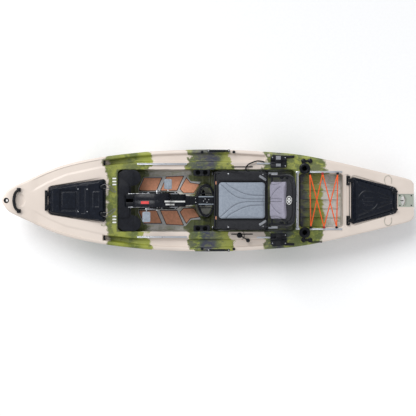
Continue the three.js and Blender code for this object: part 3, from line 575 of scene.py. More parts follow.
# ------------------------------------------------------------------ hull
OFFSETS = np.array([
    [-1920, 12, 404, 376, 9, 388], [-1895, 48, 450, 345, 30, 382], [-1860, 92, 458, 292, 55, 345],
    [-1800, 130, 454, 200, 80, 285], [-1710, 172, 440, 114, 105, 250], [-1476, 280, 427, 97, 190, 212],
    [-1277, 345, 422, 88, 255, 170], [-982, 405, 402, 77, 318, 140], [-712, 441, 350, 70, 358, 114],
    [-488, 461, 332, 70, 382, 102], [-78, 476, 331, 72, 398, 100], [257, 471, 331, 75, 394, 101],
    [546, 454, 334, 79, 376, 106], [816, 431, 357, 80, 352, 115], [1133, 373, 372, 82, 296, 126],
    [1441, 303, 361, 112, 228, 140], [1758, 228, 329, 144, 158, 168], [1890, 192, 308, 200, 132, 222],
    [1920, 160, 302, 222, 112, 238]], float)
SLOPES = np.vstack([(OFFSETS[1] - OFFSETS[0]) / (OFFSETS[1, 0] - OFFSETS[0, 0]),
                    (OFFSETS[2:] - OFFSETS[:-2]) / (OFFSETS[2:, :1] - OFFSETS[:-2, :1]),
                    (OFFSETS[-1] - OFFSETS[-2]) / (OFFSETS[-1, 0] - OFFSETS[-2, 0])])


def offsets_at(x):
    """Half beam, sheer, keel, half chine and chine height at stations x."""
    i = np.clip(np.searchsorted(OFFSETS[:, 0], x, side="right") - 1, 0, len(OFFSETS) - 2)
    span = (OFFSETS[i + 1, 0] - OFFSETS[i, 0])[:, None]
    t = (x[:, None] - OFFSETS[i, :1]) / span
    out = ((2 * t ** 3 - 3 * t ** 2 + 1) * OFFSETS[i] + (t ** 3 - 2 * t ** 2 + t) * span * SLOPES[i]
           + (3 * t ** 2 - 2 * t ** 3) * OFFSETS[i + 1] + (t ** 3 - t ** 2) * span * SLOPES[i + 1])
    return out[:, 1:]


def half_sections(xs):
    """Keel to shoulder at each station, as (station, point, (y, z))."""
    beam, sheer, keel, chine, chine_z = offsets_at(xs).T
    lip = np.minimum(20, beam * 0.35)

    def out(f):
        return chine + (beam - chine) * f

    def up(f):
        return chine_z + (sheer - chine_z) * f

    rows = [(0 * beam, keel), (chine * .5, keel + (chine_z - keel) * .1),
            (chine * .84, keel + (chine_z - keel) * .42), (chine, chine_z), (out(.5), up(.3)),
            (out(.88), up(.62)), (beam, sheer - lip), (beam - lip * .28, sheer - lip * .28), (beam - lip, sheer)]
    return np.stack([np.stack(r, axis=-1) for r in rows], axis=1)


# Each hatch: bow end, stern end, and half width at either; the rear one lies on a slope.
FRONT_HATCH, REAR_HATCH = (-1486, -952, 135, 212), (1325, 1763, 233, 125)
REAR_SLOPE, REAR_SEAT = 0.088, 362


def hatch_corners(bow, stern, bow_half, stern_half, inset):
    return [(bow + inset, -bow_half + inset), (stern - inset, -stern_half + inset),
            (stern - inset, stern_half - inset), (bow + inset, bow_half - inset)]


def deck_height(x, y, base):
    """The deck with everything that is moulded into it."""
    z = base.copy()
    side = np.abs(y)
    crease = np.interp(x, [-1640, -1500, -1320, -985], [70, 150, 226, 300])
    bevel = smooth((side - crease) / 26) * smooth((x + 1660) / 90) * smooth((-930 - x) / 60)
    z -= 7 * bevel
    z = sink(z, sd_ellipse(x, y, -1738, 0, 40, 62), z - 12, 16)
    trough = [(-985, 318), (-640, 356), (540, 356)] + [(a, float(offsets_at(np.array([float(a)]))[0, 0]) - 30)
                                                       for a in (540, 250, -80, -480, -720, -985)]
    z = sink(z, sd_polygon(x, side, trough), 305.0, 15)
    floor = 150 + 50 * smooth((x - 8) / 22)
    floor = floor + 3 * smooth((np.abs((x + 600) % 92 - 46) - 36) / 8) * (x < 0)
    floor = lift(floor, sd_box(x, y, -503, 0, 403, 62, 8), 320.0, 12)
    floor = lift(floor, sd_ellipse(x, y, -36, 0, 104, 168), 320.0, 14)
    z = sink(z, sd_box(x, y, -19.5, 0, 826.5, 290, 45), floor, 16)
    groove = smooth((11 - np.abs((y + 42.5) % 85 - 42.5)) / 5) * smooth((215 - side) / 12)
    groove *= smooth((x - 875) / 14) * smooth((1228 - x) / 14)
    z = sink(z, sd_box(x, y, 1049, 0, 205, 252, 30), 240 - 13 * groove, 16)
    z = sink(z, sd_box(x, y, 1284, 0, 26, 246, 12), z - 6, 8)
    z = sink(z, sd_box(x, y, 1296, 0, 12, 238, 8), z - 7, 6)
    z = sink(z, sd_polygon(x, y, hatch_corners(*FRONT_HATCH, 37), 40), 404.0, 9)
    z = sink(z, sd_polygon(x, y, hatch_corners(*FRONT_HATCH, 60), 26), 150.0, 14)
    slope = REAR_SEAT - REAR_SLOPE * (x - REAR_HATCH[0])
    z = sink(z, sd_polygon(x, y, hatch_corners(*REAR_HATCH, 37), 40), slope, 9)
    z = sink(z, sd_polygon(x, y, hatch_corners(*REAR_HATCH, 60), 26), 196.0, 14)
    z = sink(z, sd_box(x, y, 1850, 0, 84, 62, 12), z - 7, 7)
    z = sink(z, sd_ellipse(x, side, 896, 298, 29, 29), 172.0, 7)
    z = sink(z, sd_box(x, side, 1005, 388, 58, 5, 4), z - 9, 4)
    return z


def hull_mesh():
    xs = np.unique(np.concatenate([np.linspace(-1920, 1920, 601), OFFSETS[:3, 0]]))
    sections = half_sections(xs)
    steps, across = 5, 170
    pad = np.concatenate([2 * sections[:, :1] - sections[:, 1:2], sections,
                          2 * sections[:, -1:] - sections[:, -2:-1]], axis=1)
    half = []
    for k in range(1, pad.shape[1] - 2):
        p0, p1, p2, p3 = (pad[:, k + d] for d in (-1, 0, 1, 2))
        for t in np.arange(steps) / steps:
            half.append(0.5 * (2 * p1 + (p2 - p0) * t + (2 * p0 - 5 * p1 + 4 * p2 - p3) * t * t
                               + (3 * p1 - p0 - 3 * p2 + p3) * t ** 3))
    half = np.stack(half, axis=1)
    half[:, 0, 0] = 0
    edge = half.shape[1]
    x_side = np.repeat(xs[:, None], edge, axis=1)
    bow = smooth((x_side + 1900) / 240)
    chine = sections[:, 3:4]
    strake = np.exp(-((half[:, :, 0] - 0.80 * chine[:, :, 0]) / 14) ** 2) * (half[:, :, 1] < chine[:, :, 1])
    half[:, :, 1] -= 5 * strake * bow * smooth((1750 - x_side) / 200)
    keel = np.exp(-(half[:, :, 0] / 12) ** 2) * smooth((-300 - x_side) / 260)
    half[:, :, 1] -= 4 * keel * bow * (half[:, :, 1] < chine[:, :, 1])
    swoosh = np.exp(-((x_side - 90) / 190) ** 2)
    level = (half[:, :, 1] - chine[:, :, 1]) / (sections[:, 8:9, 1] - chine[:, :, 1])
    dent = np.exp(-((level - 0.52 + 0.0009 * (x_side - 90)) / 0.15) ** 2) * swoosh
    half[:, :, 0] -= 9 * dent
    lip = sections[:, 8, 0]
    y = lip[:, None] * np.linspace(1, -1, across)[None, :]
    x = np.repeat(xs[:, None], across, axis=1)
    base = sections[:, 8, 1][:, None] + 3 * (1 - (y / lip[:, None]) ** 2)
    top = deck_height(x, y, base)
    top[:, 0] = top[:, -1] = sections[:, 8, 1]
    ring_y = np.concatenate([half[:, :, 0], y, -half[:, :0:-1, 0]], axis=1)
    ring_z = np.concatenate([half[:, :, 1], top, half[:, :0:-1, 1]], axis=1)
    count = ring_y.shape[1]
    points = np.stack([np.repeat(xs[:, None], count, axis=1), ring_y, ring_z], axis=-1).reshape(-1, 3) * MM
    i = np.arange(len(xs) - 1)[:, None] * count
    j = np.arange(count)[None, :]
    n = (j + 1) % count
    quads = np.stack([i + j, i + n, i + n + count, i + j + count], axis=-1).reshape(-1, 4)
    faces = [tuple(q) for q in quads.tolist()]
    faces.append(tuple(range(count))[::-1])
    faces.append(tuple((len(xs) - 1) * count + k for k in range(count)))
    mesh = bpy.data.meshes.new("hull_moulding")
    mesh.from_pydata(points.tolist(), [], faces)
    mesh.update()
    hull = link(bpy.data.objects.new("hull_moulding", mesh))
    outward(hull)
    return hull


def through(name, outlines):
    return fuse(name, [prism(f"{name}_{k}", o, -60, 620) for k, o in enumerate(outlines)])


hull = hull_mesh()
slot_outline = arc_corners([(-843, -34.5), (-50, -34.5), (-50, 34.5), (-843, 34.5)], 12)
ROUND_HOLES = ((-48, 0, 82, 148, 56), (1819, 0, 29, 52, 40), (-1871, 0, 15, 15, 24), (666, 151, 32, 21, 36),
               (666, -151, 32, 21, 36))
carve(hull, through("well_cut", [ellipse_points(*hole) for hole in ROUND_HOLES]))
carve(hull, through("slot_cut", [slot_outline]))
skeg_corners = [(1095, 104), (1112, 74), (1215, 44), (1325, 10), (1365, 0.4), (1577, 0.4), (1577, 150), (1400, 135)]
skeg = prism("skeg", arc_corners(skeg_corners, [2, 10, 60, 60, 30, 10, 4, 4]), -16, 16, HULL, "XZ", 7, 4)
hull.data.materials.append(HULL)
soften(hull, 60)
fit(hull, "hull", "hull_plastic", "hull_shell")
fit(skeg, "hull", "hull_plastic")


# ------------------------------------------------------------------ rigid parts
PARTS = {entry["node"]: entry["material_slot"] for entry in frame["record"]["subparts"]}
# Edge radius in mm, finish and bevel steps, by node name without its side.
LOOKS = {
    "drive_mount": (5, GRAIN, 3), "drive_base": (4, BLACK, 3), "drive_cover": (4, GLOSS, 3),
    "well_cover": (3, GLOSS, 3), "cup_holder": (5, GRAIN, 3), "shaft_keeper": (4, GRAIN, 3), "pedal": (5, PEDAL, 3),
    "drive_leg": (6, BLACK, 3), "rear_crossbar": (1.5, ALLOY, 2), "rod_holder_cup": (2.5, GRAIN, 3),
    "side_handle": (3, RUBBER, 3), "crank_arm": (3, STEEL, 3), "rudder_blade": (2.5, BLACK, 3),
    "steering_lever": (2.5, BLACK, 3),
}
REBUILT = {"hull_shell", "foot_mat_port", "foot_mat_starboard", "front_hatch_lid", "rear_hatch_lid",
           "seat_cushion", "seat_back_cushion", "seat_back_panel", "seat_frame", "seat_back_frame",
           "tank_bungee", "bow_handle", "rudder_cable", "propeller", "seat_sling", "rear_hatch_hinge"}
for node, slot_name in PARTS.items():
    if node not in REBUILT:
        family = node.removesuffix("_port").removesuffix("_starboard")
        refined(node, slot_name, *LOOKS.get(family, (1.0, None, 2)))


def grown(points, distance):
    """A counter-clockwise outline moved outwards."""
    out = []
    for i, (x, y) in enumerate(points):
        ax, ay = points[i - 1]
        bx, by = points[(i + 1) % len(points)]
        first = Vector((y - ay, ax - x)).normalized()
        second = Vector((by - y, x - bx)).normalized()
        normal = (first + second).normalized()
        reach = distance / max(0.4, normal.dot(first))
        out.append((x + normal.x * reach, y + normal.y * reach))
    return out


def mirrored(points, side):
    return list(points) if side > 0 else [(x, -y) for x, y in reversed(points)]


def trim(obj, body="hull", slot_name="black_plastic"):
    return fit(obj, body, slot_name)


def disc(name, profile, centre, axis="Z", finish=BLACK, sides=28, body="hull", slot_name="black_plastic"):
    """A turned piece of trim."""
    return trim(turned(name, profile, centre, axis, finish, sides), body, slot_name)


def slab(name, x, y, z0, z1, rx, ry, finish=BLACK, edge=2.0, body="hull", slot_name="black_plastic"):
    """A rounded block of trim about (x, y), rx and ry to each side."""
    return trim(block(name, x - rx, x + rx, y - ry, y + ry, z0, z1, finish, edge), body, slot_name)


def over_side(points, side):
    """Points given for starboard, put on either side."""
    return [(x, side * y, z) for x, y, z in points]


def bolt(name, x, y, z, body="hull", r=6.0, finish=None, axis="Z", high=3.5, slot_name="drive_steel"):
    """Domed socket head with its recess."""
    profile = [(0, -1.5), (r, -1.5), (r, high * 0.35), (r * 0.9, high * 0.75), (r * 0.62, high), (r * 0.42, high),
               (r * 0.38, high * 0.35), (0, high * 0.35)]
    return trim(turned(name, profile, (x, y, z), axis, finish or STEEL, 20, 55), body, slot_name)


def top_of(objects, x, y):
    """Height of the highest of some objects over a place, in mm."""
    best = None
    for obj in objects:
        hit, where, _, _ = obj.ray_cast(Vector((x * MM, y * MM, 2)), Vector((0, 0, -1)))
        if hit:
            best = where.z / MM if best is None else max(best, where.z / MM)
    return best


def ribbon(name, objects, x0, x1, y, width, thick, finish, body, slot_name, steps=24, lifted=0.0):
    """A thin strip that lies along whatever is under it."""
    path = []
    for k in range(steps + 1):
        x = x0 + (x1 - x0) * k / steps
        z = top_of(objects, x, y)
        if z is not None:
            path.append((x, y, z + lifted))
    w, t = width / 2, thick
    section = [(-w, -t), (w, -t), (w, t * 0.4), (w - t * 0.6, t), (-w + t * 0.6, t), (-w, t * 0.4)]
    return trim(sweep(name, path, section, finish), body, slot_name)


# ------------------------------------------------------------------ foot mats
TILES = [[(-656, 89), (-488, 89), (-432, 219), (-610, 219), (-656, 116)],
         [(-460, 89), (-293, 89), (-227, 236), (-400, 228)],
         [(-274, 107), (-237, 68), (-134, 68), (-76, 158), (-167, 172), (-209, 224)]]
BACKING = [(-660, 85), (-250, 85), (-232, 66), (-132, 66), (-72, 178), (-165, 182), (-215, 240), (-612, 223),
           (-662, 118)]
for side, word in SIDES:
    mat = prism(f"foot_mat_{word}_base", mirrored(BACKING, side), 150.3, 154.2, FOAM_BASE, "XY", 1, 2)
    fit(mat, "hull", "foot_foam", f"foot_mat_{word}")
    for k, tile in enumerate(TILES):
        rim = mirrored(grown(tile, -1.5), side)
        trim(prism(f"foot_tile_rim_{word}_{k}", rim, 153.5, 156.2, RUBBER, "XY", 1, 2), slot_name="black_rubber")
        pad = mirrored(arc_corners(grown(tile, -7), 6), side)
        trim(prism(f"foot_tile_{word}_{k}", pad, 154, 158.3, FOAM, "XY", 1.6, 3), slot_name="foot_foam")


# ------------------------------------------------------------------ hatches
def tilted(obj, hatch_bow, seat, tilt):
    """Lays a piece that was drawn level along a sloping deck."""
    centre = Vector((hatch_bow, 0, seat)) * MM
    obj.data.transform(Matrix.Translation(centre) @ Matrix.Rotation(math.atan(tilt), 4, "Y")
                       @ Matrix.Translation(-centre))
    obj.data.update()
    return obj


def lid_top(bow, stern, bow_half, stern_half, low, rise, relief, name, material):
    """Hatch lid: a stepped, crowned shell as a fine grid over its outline."""
    nx, ny = 150, 110
    u = np.linspace(0, 1, nx)[:, None] * np.ones((1, ny))
    v = np.ones((nx, 1)) * np.linspace(-1, 1, ny)[None, :]
    x = bow + (stern - bow) * u
    reach = np.interp(x, [bow, stern], [bow_half, stern_half]) - 8
    corner = 34.0
    near = np.minimum(x - bow, stern - x)
    reach = reach - np.where(near < corner, corner - np.sqrt(np.clip(corner ** 2 - (corner - near) ** 2, 0, None)), 0)
    y = v * np.maximum(reach, 6)
    sd = sd_polygon(x, y, hatch_corners(bow, stern, bow_half, stern_half, 38), 38)
    z = low + rise * 0.55 * smooth(-sd / 10) + rise * 0.45 * smooth((-sd - 12) / 18)
    z = relief(x, y, z, sd)
    z[0, :] = z[-1, :] = low
    z[:, 0] = z[:, -1] = low
    top = np.stack([x, y, z], axis=-1).reshape(-1, 3)
    under = top.copy()
    inner = (sd < -30).reshape(-1)
    under[:, 2] = np.where(inner, np.maximum(top[:, 2] - 8, low), low)
    i = np.arange(nx - 1)[:, None] * ny
    j = np.arange(ny - 1)[None, :]
    quads = np.stack([i + j, i + ny + j, i + ny + j + 1, i + j + 1], axis=-1).reshape(-1, 4)
    low_quads = quads[:, ::-1] + nx * ny
    rim = [k * ny for k in range(nx)] + [(nx - 1) * ny + k for k in range(1, ny)]
    rim += [k * ny + ny - 1 for k in range(nx - 2, -1, -1)] + [k for k in range(ny - 2, 0, -1)]
    wall = [(a, b, b + nx * ny, a + nx * ny) for a, b in zip(rim, rim[1:] + rim[:1])]
    faces = [tuple(q) for q in quads.tolist()] + [tuple(q) for q in low_quads.tolist()] + wall
    obj = mesh_object(name, np.vstack([top, under]), faces, material, 60)
    return outward(obj)


def front_relief(x, y, z, sd):
    side = np.abs(y)
    edge = 118 + 0.145 * (x + 1400)
    z = sink(z, sd_box(x, y, -1292, 0, 90, 100, 18), z - 9, 8)
    z = lift(z, sd_box(x, y, -1292, 0, 66, 78, 12), z + 5, 6)
    z = lift(z, sd_box(x, y, -1163, 0, 62, 146, 12), z + 6, 6)
    z = sink(z, sd_box(x, y, -1163, 0, 24, 124, 10), z - 4, 5)
    z = sink(z, np.maximum(sd_box(x, side, -1205, 200, 190, 110, 8), np.abs(side - edge) - 9), z - 5, 6)
    z = sink(z, sd_ellipse(x, side, -985, 125, 30, 30), z - 6, 8)
    z = lift(z, sd_box(x, y, -1035, 0, 38, 84, 14), z + 4, 7)
    z = sink(z, sd_box(x, y, -1035, 0, 22, 62, 8), z - 3, 5)
    return z - 5 * smooth((4 - np.abs(np.abs(x + 1405) - 40)) / 4) * (side < 96)


def rear_relief(x, y, z, sd):
    z = z - 7 * smooth((6 - np.abs(sd + 36)) / 6)
    z = lift(z, np.maximum(sd + 48, sd_box(x, y, 1545, 0, 170, 400, 20)), z + 5, 7)
    for slope in (-0.42, -0.16, 0.16, 0.42):
        line = np.abs(y - slope * (1760 - x) * 0.9)
        z = z - 4 * smooth((6 - line) / 5) * smooth((-sd - 56) / 10) * (np.hypot(x - 1487, y) > 108)
    ring = np.abs(np.hypot(x - 1487, y) - 92)
    z = z + 4 * smooth((8 - ring) / 4)
    for y0 in (-34, 0, 34):
        bar = sd_box(x, y, 1487, y0, 58 - abs(y0) * 0.35, 9, 8)
        z = z + 3 * smooth((2 - bar) / 4)
    return z


front_lid = lid_top(*FRONT_HATCH, 407.9, 51.4, front_relief, "front_lid_moulding", LID)
fit(front_lid, "front_lid", "black_plastic", "front_hatch_lid")
rear_lid = lid_top(*REAR_HATCH, 365.9, 25.5, rear_relief, "rear_lid_moulding", LID)
fit(tilted(rear_lid, REAR_HATCH[0], REAR_SEAT, REAR_SLOPE), "rear_lid", "black_plastic", "rear_hatch_lid")


for k, (x, y) in enumerate(((-1206, 104), (-1206, -104), (-1122, 104), (-1122, -104))):
    bolt(f"lid_screw_{k}", x, y, top_of([front_lid], x, y) or 460, "front_lid", 5.5)
KNUCKLE = [(0, -19), (5, -19), (6.6, -17.5), (6.6, 17.5), (5, 19), (0, 19)]
LATCH_KNOB = [(0, -3), (15, -3), (16, -1), (16, 0.5), (13, 2), (8, 2.4), (7, 1.2), (0, 1.2)]
FRONT_LOOP = [(-985, 140, 452), (-955, 150, 458), (-915, 132, 432), (-868, 92, 412), (-862, 78, 408),
              (-880, 80, 409), (-925, 112, 434), (-958, 112, 456), (-985, 112, 452)]
REAR_LOOP = [(1690, 116, 349), (1712, 130, 350), (1728, 118, 346), (1716, 108, 348), (1692, 108, 349)]
for side, word in SIDES:
    for x, y0, body, z in ((-1501, 60, "front_lid", 449), (1310, 186, "rear_lid", 389)):
        y = side * y0
        disc(f"{body}_knuckle_{word}", KNUCKLE, (x, y, z), "Y", sides=24, body=body)
        arm = arc_corners([(x, z - 6), (x + 46, z - 12), (x + 46, z - 4), (x + 6, z + 6), (x - 4, z + 6)], 3)
        trim(prism(f"{body}_hinge_arm_{word}", arm, y - 18, y + 18, BLACK, "XZ", 1.5, 2), body)
    for x, y0, latch, z in ((-985, 125, "front_latch_", 469.2), (1722, 84, "rear_latch_", 369.0)):
        body = latch + word
        disc(f"{body}_knob", LATCH_KNOB, (x, side * y0, z), body=body)
        slab(f"{body}_grip", x, side * y0, z, z + 5, 11, 3, GRAIN, 1.5, body)
    trim(tube(f"lid_loop_{word}", over_side(FRONT_LOOP, side), 3.4, CORD, 8, 10), "front_lid", "black_rubber")
    bolt(f"lid_loop_anchor_{word}", -985, side * 126, 447, "front_lid", 9, BLACK, slot_name="black_plastic")
    trim(tube(f"rear_lid_loop_{word}", over_side(REAR_LOOP, side), 2.2, CORD, 8, 10), "rear_lid", "black_rubber")


hinge = [turned("rear_hinge_pin", [(0, -230), (3, -230), (3, 230), (0, 230)], (1310, 0, 380), "Y", BLACK, 12)]
EAR = arc_corners([(1290, 362), (1318, 362), (1318, 384), (1310, 391), (1296, 388)], 4)
for side in (1, -1):
    for k, y in enumerate((152, 220)):
        hinge.append(prism(f"rear_hinge_ear_{side}_{k}", EAR, side * y - 9, side * y + 9, BLACK, "XZ", 1.5, 2))
    hinge.append(block(f"rear_hinge_plate_{side}", 1284, 1304, side * 186 - 44, side * 186 + 44, 360, 367, BLACK, 2))
fit(fuse("rear_hinge_knuckles", hinge), "hull", "black_plastic", "rear_hatch_hinge")
for side, word in SIDES:
    ends = [(1650, 156), (1640, 190), (1652, 224), (1682, 232), (1706, 206), (1708, 160)]
    over = [(x, side * y, (top_of([hull, rear_lid], x, side * y) or 372) + 2.4) for x, y in ends]
    trim(tube(f"rear_lid_cord_{word}", over, 3.2, CORD_PALE, 8, 10), slot_name="black_rubber")


# ------------------------------------------------------------------ bow
BOW_GRIP = [(-1752, -98, 466), (-1783, -72, 476), (-1800, 0, 481), (-1783, 72, 476), (-1752, 98, 466)]
fit(tube("bow_grip_handle", BOW_GRIP, 13, RUBBER, 12, 20), "bow_grip", "black_rubber", "bow_handle")
BOW_SLEEVE = [(-1791, -46, 478), (-1799, 0, 480.6), (-1791, 46, 478)]
trim(tube("bow_grip_sleeve", BOW_SLEEVE, 14.4, GRAIN, 10, 24), "bow_grip", "black_rubber")
for side, word in SIDES:
    slab(f"bow_grip_pad_{word}", -1755, side * 98, 455.5, 471, 19, 18, edge=5)
    bolt(f"bow_grip_bolt_{word}", -1753, side * 98, 471, "hull", 8, BLACK)
disc("bow_eye_ring", [(14, -90), (17, -90), (18, -6), (25, -4), (26, -1), (24, 3), (16, 3), (13.5, 0), (14, -90)],
     (-1871, 0, 460), sides=32)

# Forward step with three slots a side.
for side, word in SIDES:
    for k, y in enumerate((148, 176, 204)):
        near, far = side * y - 7, side * y + 7
        pad = prism(f"step_slot_{word}_{k}", arc_corners([(-896, near), (-856, near), (-856, far), (-896, far)], 6),
                    383, 388, WHITE, "XY", 1.5, 2)
        z = top_of([hull], -876, side * y)
        pad.data.transform(Matrix.Translation((0, 0, (z - 384.5) * MM)))
        trim(pad, slot_name="hull_plastic")
    disc(f"rod_tube_mouth_{word}", [(0, -8), (26, -8), (33, 0), (33, 6), (29, 10), (24, 8), (22, 2), (0, 0)],
         (-972, side * 349, 330), "X", sides=32)
    bolt(f"rod_tube_bolt_{word}", -962, side * 349, 330, "hull", 6, axis="X")


# ------------------------------------------------------------------ pedal drive
WHEEL = (-450, 497)
drive = [bpy.data.objects[f"{node}_look"] for node in ("drive_cover_port", "drive_cover_starboard", "drive_base")]
FLANGE = [(-668, -60), (-640, -82), (-300, -82), (-262, -52), (-212, -45), (-104, -38), (-104, 38), (-212, 45),
          (-262, 52), (-300, 82), (-640, 82), (-668, 60)]
trim(prism("drive_flange", arc_corners(FLANGE, 14), 320.4, 327, BLACK, "XY", 2, 3))
for side, word in SIDES:
    for k, x in enumerate((-561, -436, -309)):
        bolt(f"flange_bolt_{word}_{k}", x, side * 71, 327, "hull", 6.5)
    bolt(f"neck_bolt_{word}", -120, side * 16, 331, "hull", 5)
    bolt(f"mount_bolt_{word}", -742, side * 62, 372, "hull", 7)
    for k, (x, z) in enumerate(((-680, 400), (-392, 402), (-364, 520), (-450, 590), (-620, 500))):
        bolt(f"cover_screw_{word}_{k}", x, side * 62, z, "hull", 5, axis="Y", high=2.2 * side)
for side, name in ((1, "base_trim"), (-1, "base_trim_port")):
    slab(name, -513.5, side * 62.5, 382, 390, 228.5, 2.5, ALLOY, 1.5, slot_name="track_aluminium")
ribbon("drive_mark", drive, -622, -547, -20, 26, 1.2, MARK_RED, "hull", "black_plastic", 14, 0.6)
ribbon("drive_bar_long", drive, -402, -205, -10, 15, 1.4, WHITE, "hull", "track_aluminium", 30, 0.8)
ribbon("drive_bar_short", drive, -393, -316, -38, 15, 1.4, WHITE, "hull", "track_aluminium", 16, 0.8)
for side, name in ((1, "lobe_cap"), (-1, "lobe_cap_port")):
    profile = [(r, h * side) for r, h in ((0, -2), (19, -2), (20, 0), (19, 2.5), (14, 3.4), (0, 3.8))]
    disc(name, profile, (-651, side * 62, 468), "Y", WHITE, 36)
for side, word in SIDES:
    for r, depth, w in ((92, 2.6, 5), (58, 3.4, 4), (34, 3.4, 3)):
        profile = [(r - w, 0), (r - w, depth * side), (r, depth * side), (r + 1, 0), (r - w, 0)]
        disc(f"wheel_ring_{word}_{r}", profile, (WHEEL[0], side * 62, WHEEL[1]), "Y", sides=56)
    for k in range(6):
        c, s = math.cos(math.radians(60 * k + 12)), math.sin(math.radians(60 * k + 12))
        spoke = [(WHEEL[0] + r * c - w * s, WHEEL[1] + r * s + w * c)
                 for r, w in ((36, 4), (88, 4), (88, -4), (36, -4))]
        trim(prism(f"wheel_spoke_{word}_{k}", spoke, side * 61, side * 64.2, BLACK, "XZ", 1, 2))
    disc(f"crank_boss_{word}", [(0, 0), (15, 0), (15, 10 * side), (11, 13 * side), (0, 13 * side)],
         (-472, side * 84, 497), "Y", STEEL, 32, "crank", "drive_steel")
    slab(f"cover_bar_{word}", -22, side * 35, 331, 335, 70, 5, PEDAL)
    arc = [(-22 + 60 * math.cos(a), side * 64 + side * 66 * math.sin(a), 332) for a in np.linspace(0, math.pi, 30)]
    trim(sweep(f"cover_lip_{word}", arc, round_section(3.2, 10), GLOSS))
oval = [(-22 + 77 * math.cos(a), 151 * math.sin(a), 331.5) for a in np.linspace(0, 2 * math.pi, 73)[:-1]]
trim(sweep("cover_ring", oval, round_section(4.6, 12), GLOSS, True))
for k, (x, y) in enumerate(((-30, 14), (-12, -16), (-46, -4), (4, 8))):
    bolt(f"cover_bolt_{k}", x, y, 331.4, "hull", 5)
refined("propeller", "black_plastic", 0, BLACK)


# ------------------------------------------------------------------ gunwale fittings
GRIP_KNOB = [(0, 0), (12, 0), (14, 3), (14, 12), (11, 17), (6, 18), (0, 18)]
CLEAT = [(0, -6), (18, -6), (20, 0), (15, 5), (13, 10), (21, 15), (22, 20), (14, 25), (0, 26)]
ROD_RING = [(25, 0), (27, 5), (35, 7), (46, 5), (51, 0), (51, -2), (25, -2), (25, 0)]
KEEPER_STRAP = [(650, 312, 371), (650, 318, 386), (650, 340, 391), (650, 385, 391), (650, 408, 386), (650, 416, 371)]
for side, word in SIDES:
    for k, x in enumerate((-59, 237)):
        disc(f"grip_knob_{word}_{k}", GRIP_KNOB, (x, side * 452, 334))
    for k, x in enumerate((2, 189)):
        bolt(f"grip_bolt_{word}_{k}", x, side * 463, 356, f"side_grip_{word}", 6.5)
    sleeve = over_side([(36, 463, 347), (95, 463, 348), (156, 463, 347)], side)
    trim(tube(f"side_grip_sleeve_{word}", sleeve, 10.5, GRAIN, 10, 20), f"side_grip_{word}")
    for k, x in enumerate((884, 946)):
        disc(f"cleat_post_{word}_{k}", CLEAT, (x, side * 368, 360), sides=32)
    slab(f"cleat_bridge_{word}", 915, side * 368, 364, 376, 31, 10, edge=4)
    slab(f"deck_slot_{word}", 313.5, side * 314, 333, 336.5, 100.5, 5, RUBBER, 1.5, slot_name="black_rubber")
    track = block(f"short_track_{word}", 451, 580, side * 345 - 8, side * 345 + 8, 334.5, 341, ALLOY, 1)
    carve(track, block(f"short_track_slot_{word}", 449, 582, side * 345 - 3, side * 345 + 3, 338, 345, None, 0))
    trim(track, slot_name="track_aluminium")
    trim(sweep(f"keeper_strap_{word}", smooth_path(over_side(KEEPER_STRAP, side), 6),
               [(-22, -1.4), (22, -1.4), (22, 1.4), (-22, 1.4)], GREY_STRAP if side > 0 else WEBBING),
         slot_name="seat_webbing")
    slab(f"keeper_buckle_{word}", 650, side * 362, 391, 397, 28, 18, edge=2.5)
    slab(f"edge_clip_{word}", 758, side * 408, 352, 366, 42, 12, GRAIN, 4)
    for k, (x, y) in enumerate(((596, 400), (716, 322), (716, 398))):
        bolt(f"keeper_bolt_{word}_{k}", x, side * y, 378, "hull", 5.5)
    for k, x in enumerate((955, 1233)):
        bolt(f"well_track_bolt_{word}_{k}", x, side * 266, 377, "hull", 4.5)
    for k, x in enumerate((-650, -432, -214)):
        bolt(f"gear_track_bolt_{word}_{k}", x, side * 340, 349.5, "hull", 4)
    disc(f"rod_holder_ring_{word}", ROD_RING, (896, side * 298, 381), sides=48)
# Painted shade: a black block fills only the port slit and darkens that recess; the starboard slit is left open.
slit = block("port_slit_painted_shade", 952, 1058, -392, -380, 326, 333, RUBBER, 2)
slit.data.transform(Matrix.Translation((0, 0, ((top_of([hull], 1005, -386) or 340) - 331) * MM)))
trim(slit, slot_name="black_rubber")
HOSE = [(522, 359, 352), (488, 366, 356), (451, 367, 358), (404, 352, 358), (368, 332, 356), (350, 306, 352),
        (352, 284, 348), (372, 258, 344), (388, 244, 336)]
trim(tube("paddle_hook", HOSE, 6.5, RUBBER, 10, 16), slot_name="black_rubber")
disc("steering_lever_base", [(0, -2), (24, -2), (26, 0), (24, 2.5), (0, 2.5)], (290, -324, 333), sides=36)
detent = [(290 + 46 * math.cos(a), -324 + 46 * math.sin(a), 334.5) for a in np.linspace(-1.1, 1.1, 9)]
trim(tube("steering_detent_arc", detent, 2.5, BLACK, 6, 10))


# ------------------------------------------------------------------ tank well and stern
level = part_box("well_track_port")[0].z / MM + 24
S = [(x, 250) for x in (943, 1061, 1202)]
P = [(x, -250) for x in (951, 1074, 1191)]
run = [(S[0], P[0], 0), (P[0], S[1], -6), (S[1], P[2], 6), (P[2], S[2], 0), (S[2], P[1], -6), (P[1], S[0], 6)]
strands = []
for k, (a, b, lift_z) in enumerate(run):
    span = [(*a, level), ((a[0] + b[0]) / 2, 0, level + lift_z), (*b, level)]
    strands.append(tube(f"bungee_strand_{k}", span, 5.4, RED, 10, 12))
BEAD = [(0, -11), (6, -11), (9, -6), (9, 6), (6, 11), (0, 11)]
strands.append(turned("bungee_bead", BEAD, (945, 40, level), "Y", RED, 24))
fit(fuse("bungee_lacing", strands), "hull", "bungee_red", "tank_bungee")
ANCHOR = [(0, -4), (12, -4), (13, 0), (9, 4), (6, 10), (8, 16), (12, 19), (12, 23), (7, 26), (0, 26)]
for word, row in (("starboard", S), ("port", P)):
    for k, (x, y) in enumerate(row):
        disc(f"bungee_anchor_{word}_{k}", ANCHOR, (x, y, level - 18), finish=DARK_RED if k == 1 else BLACK)
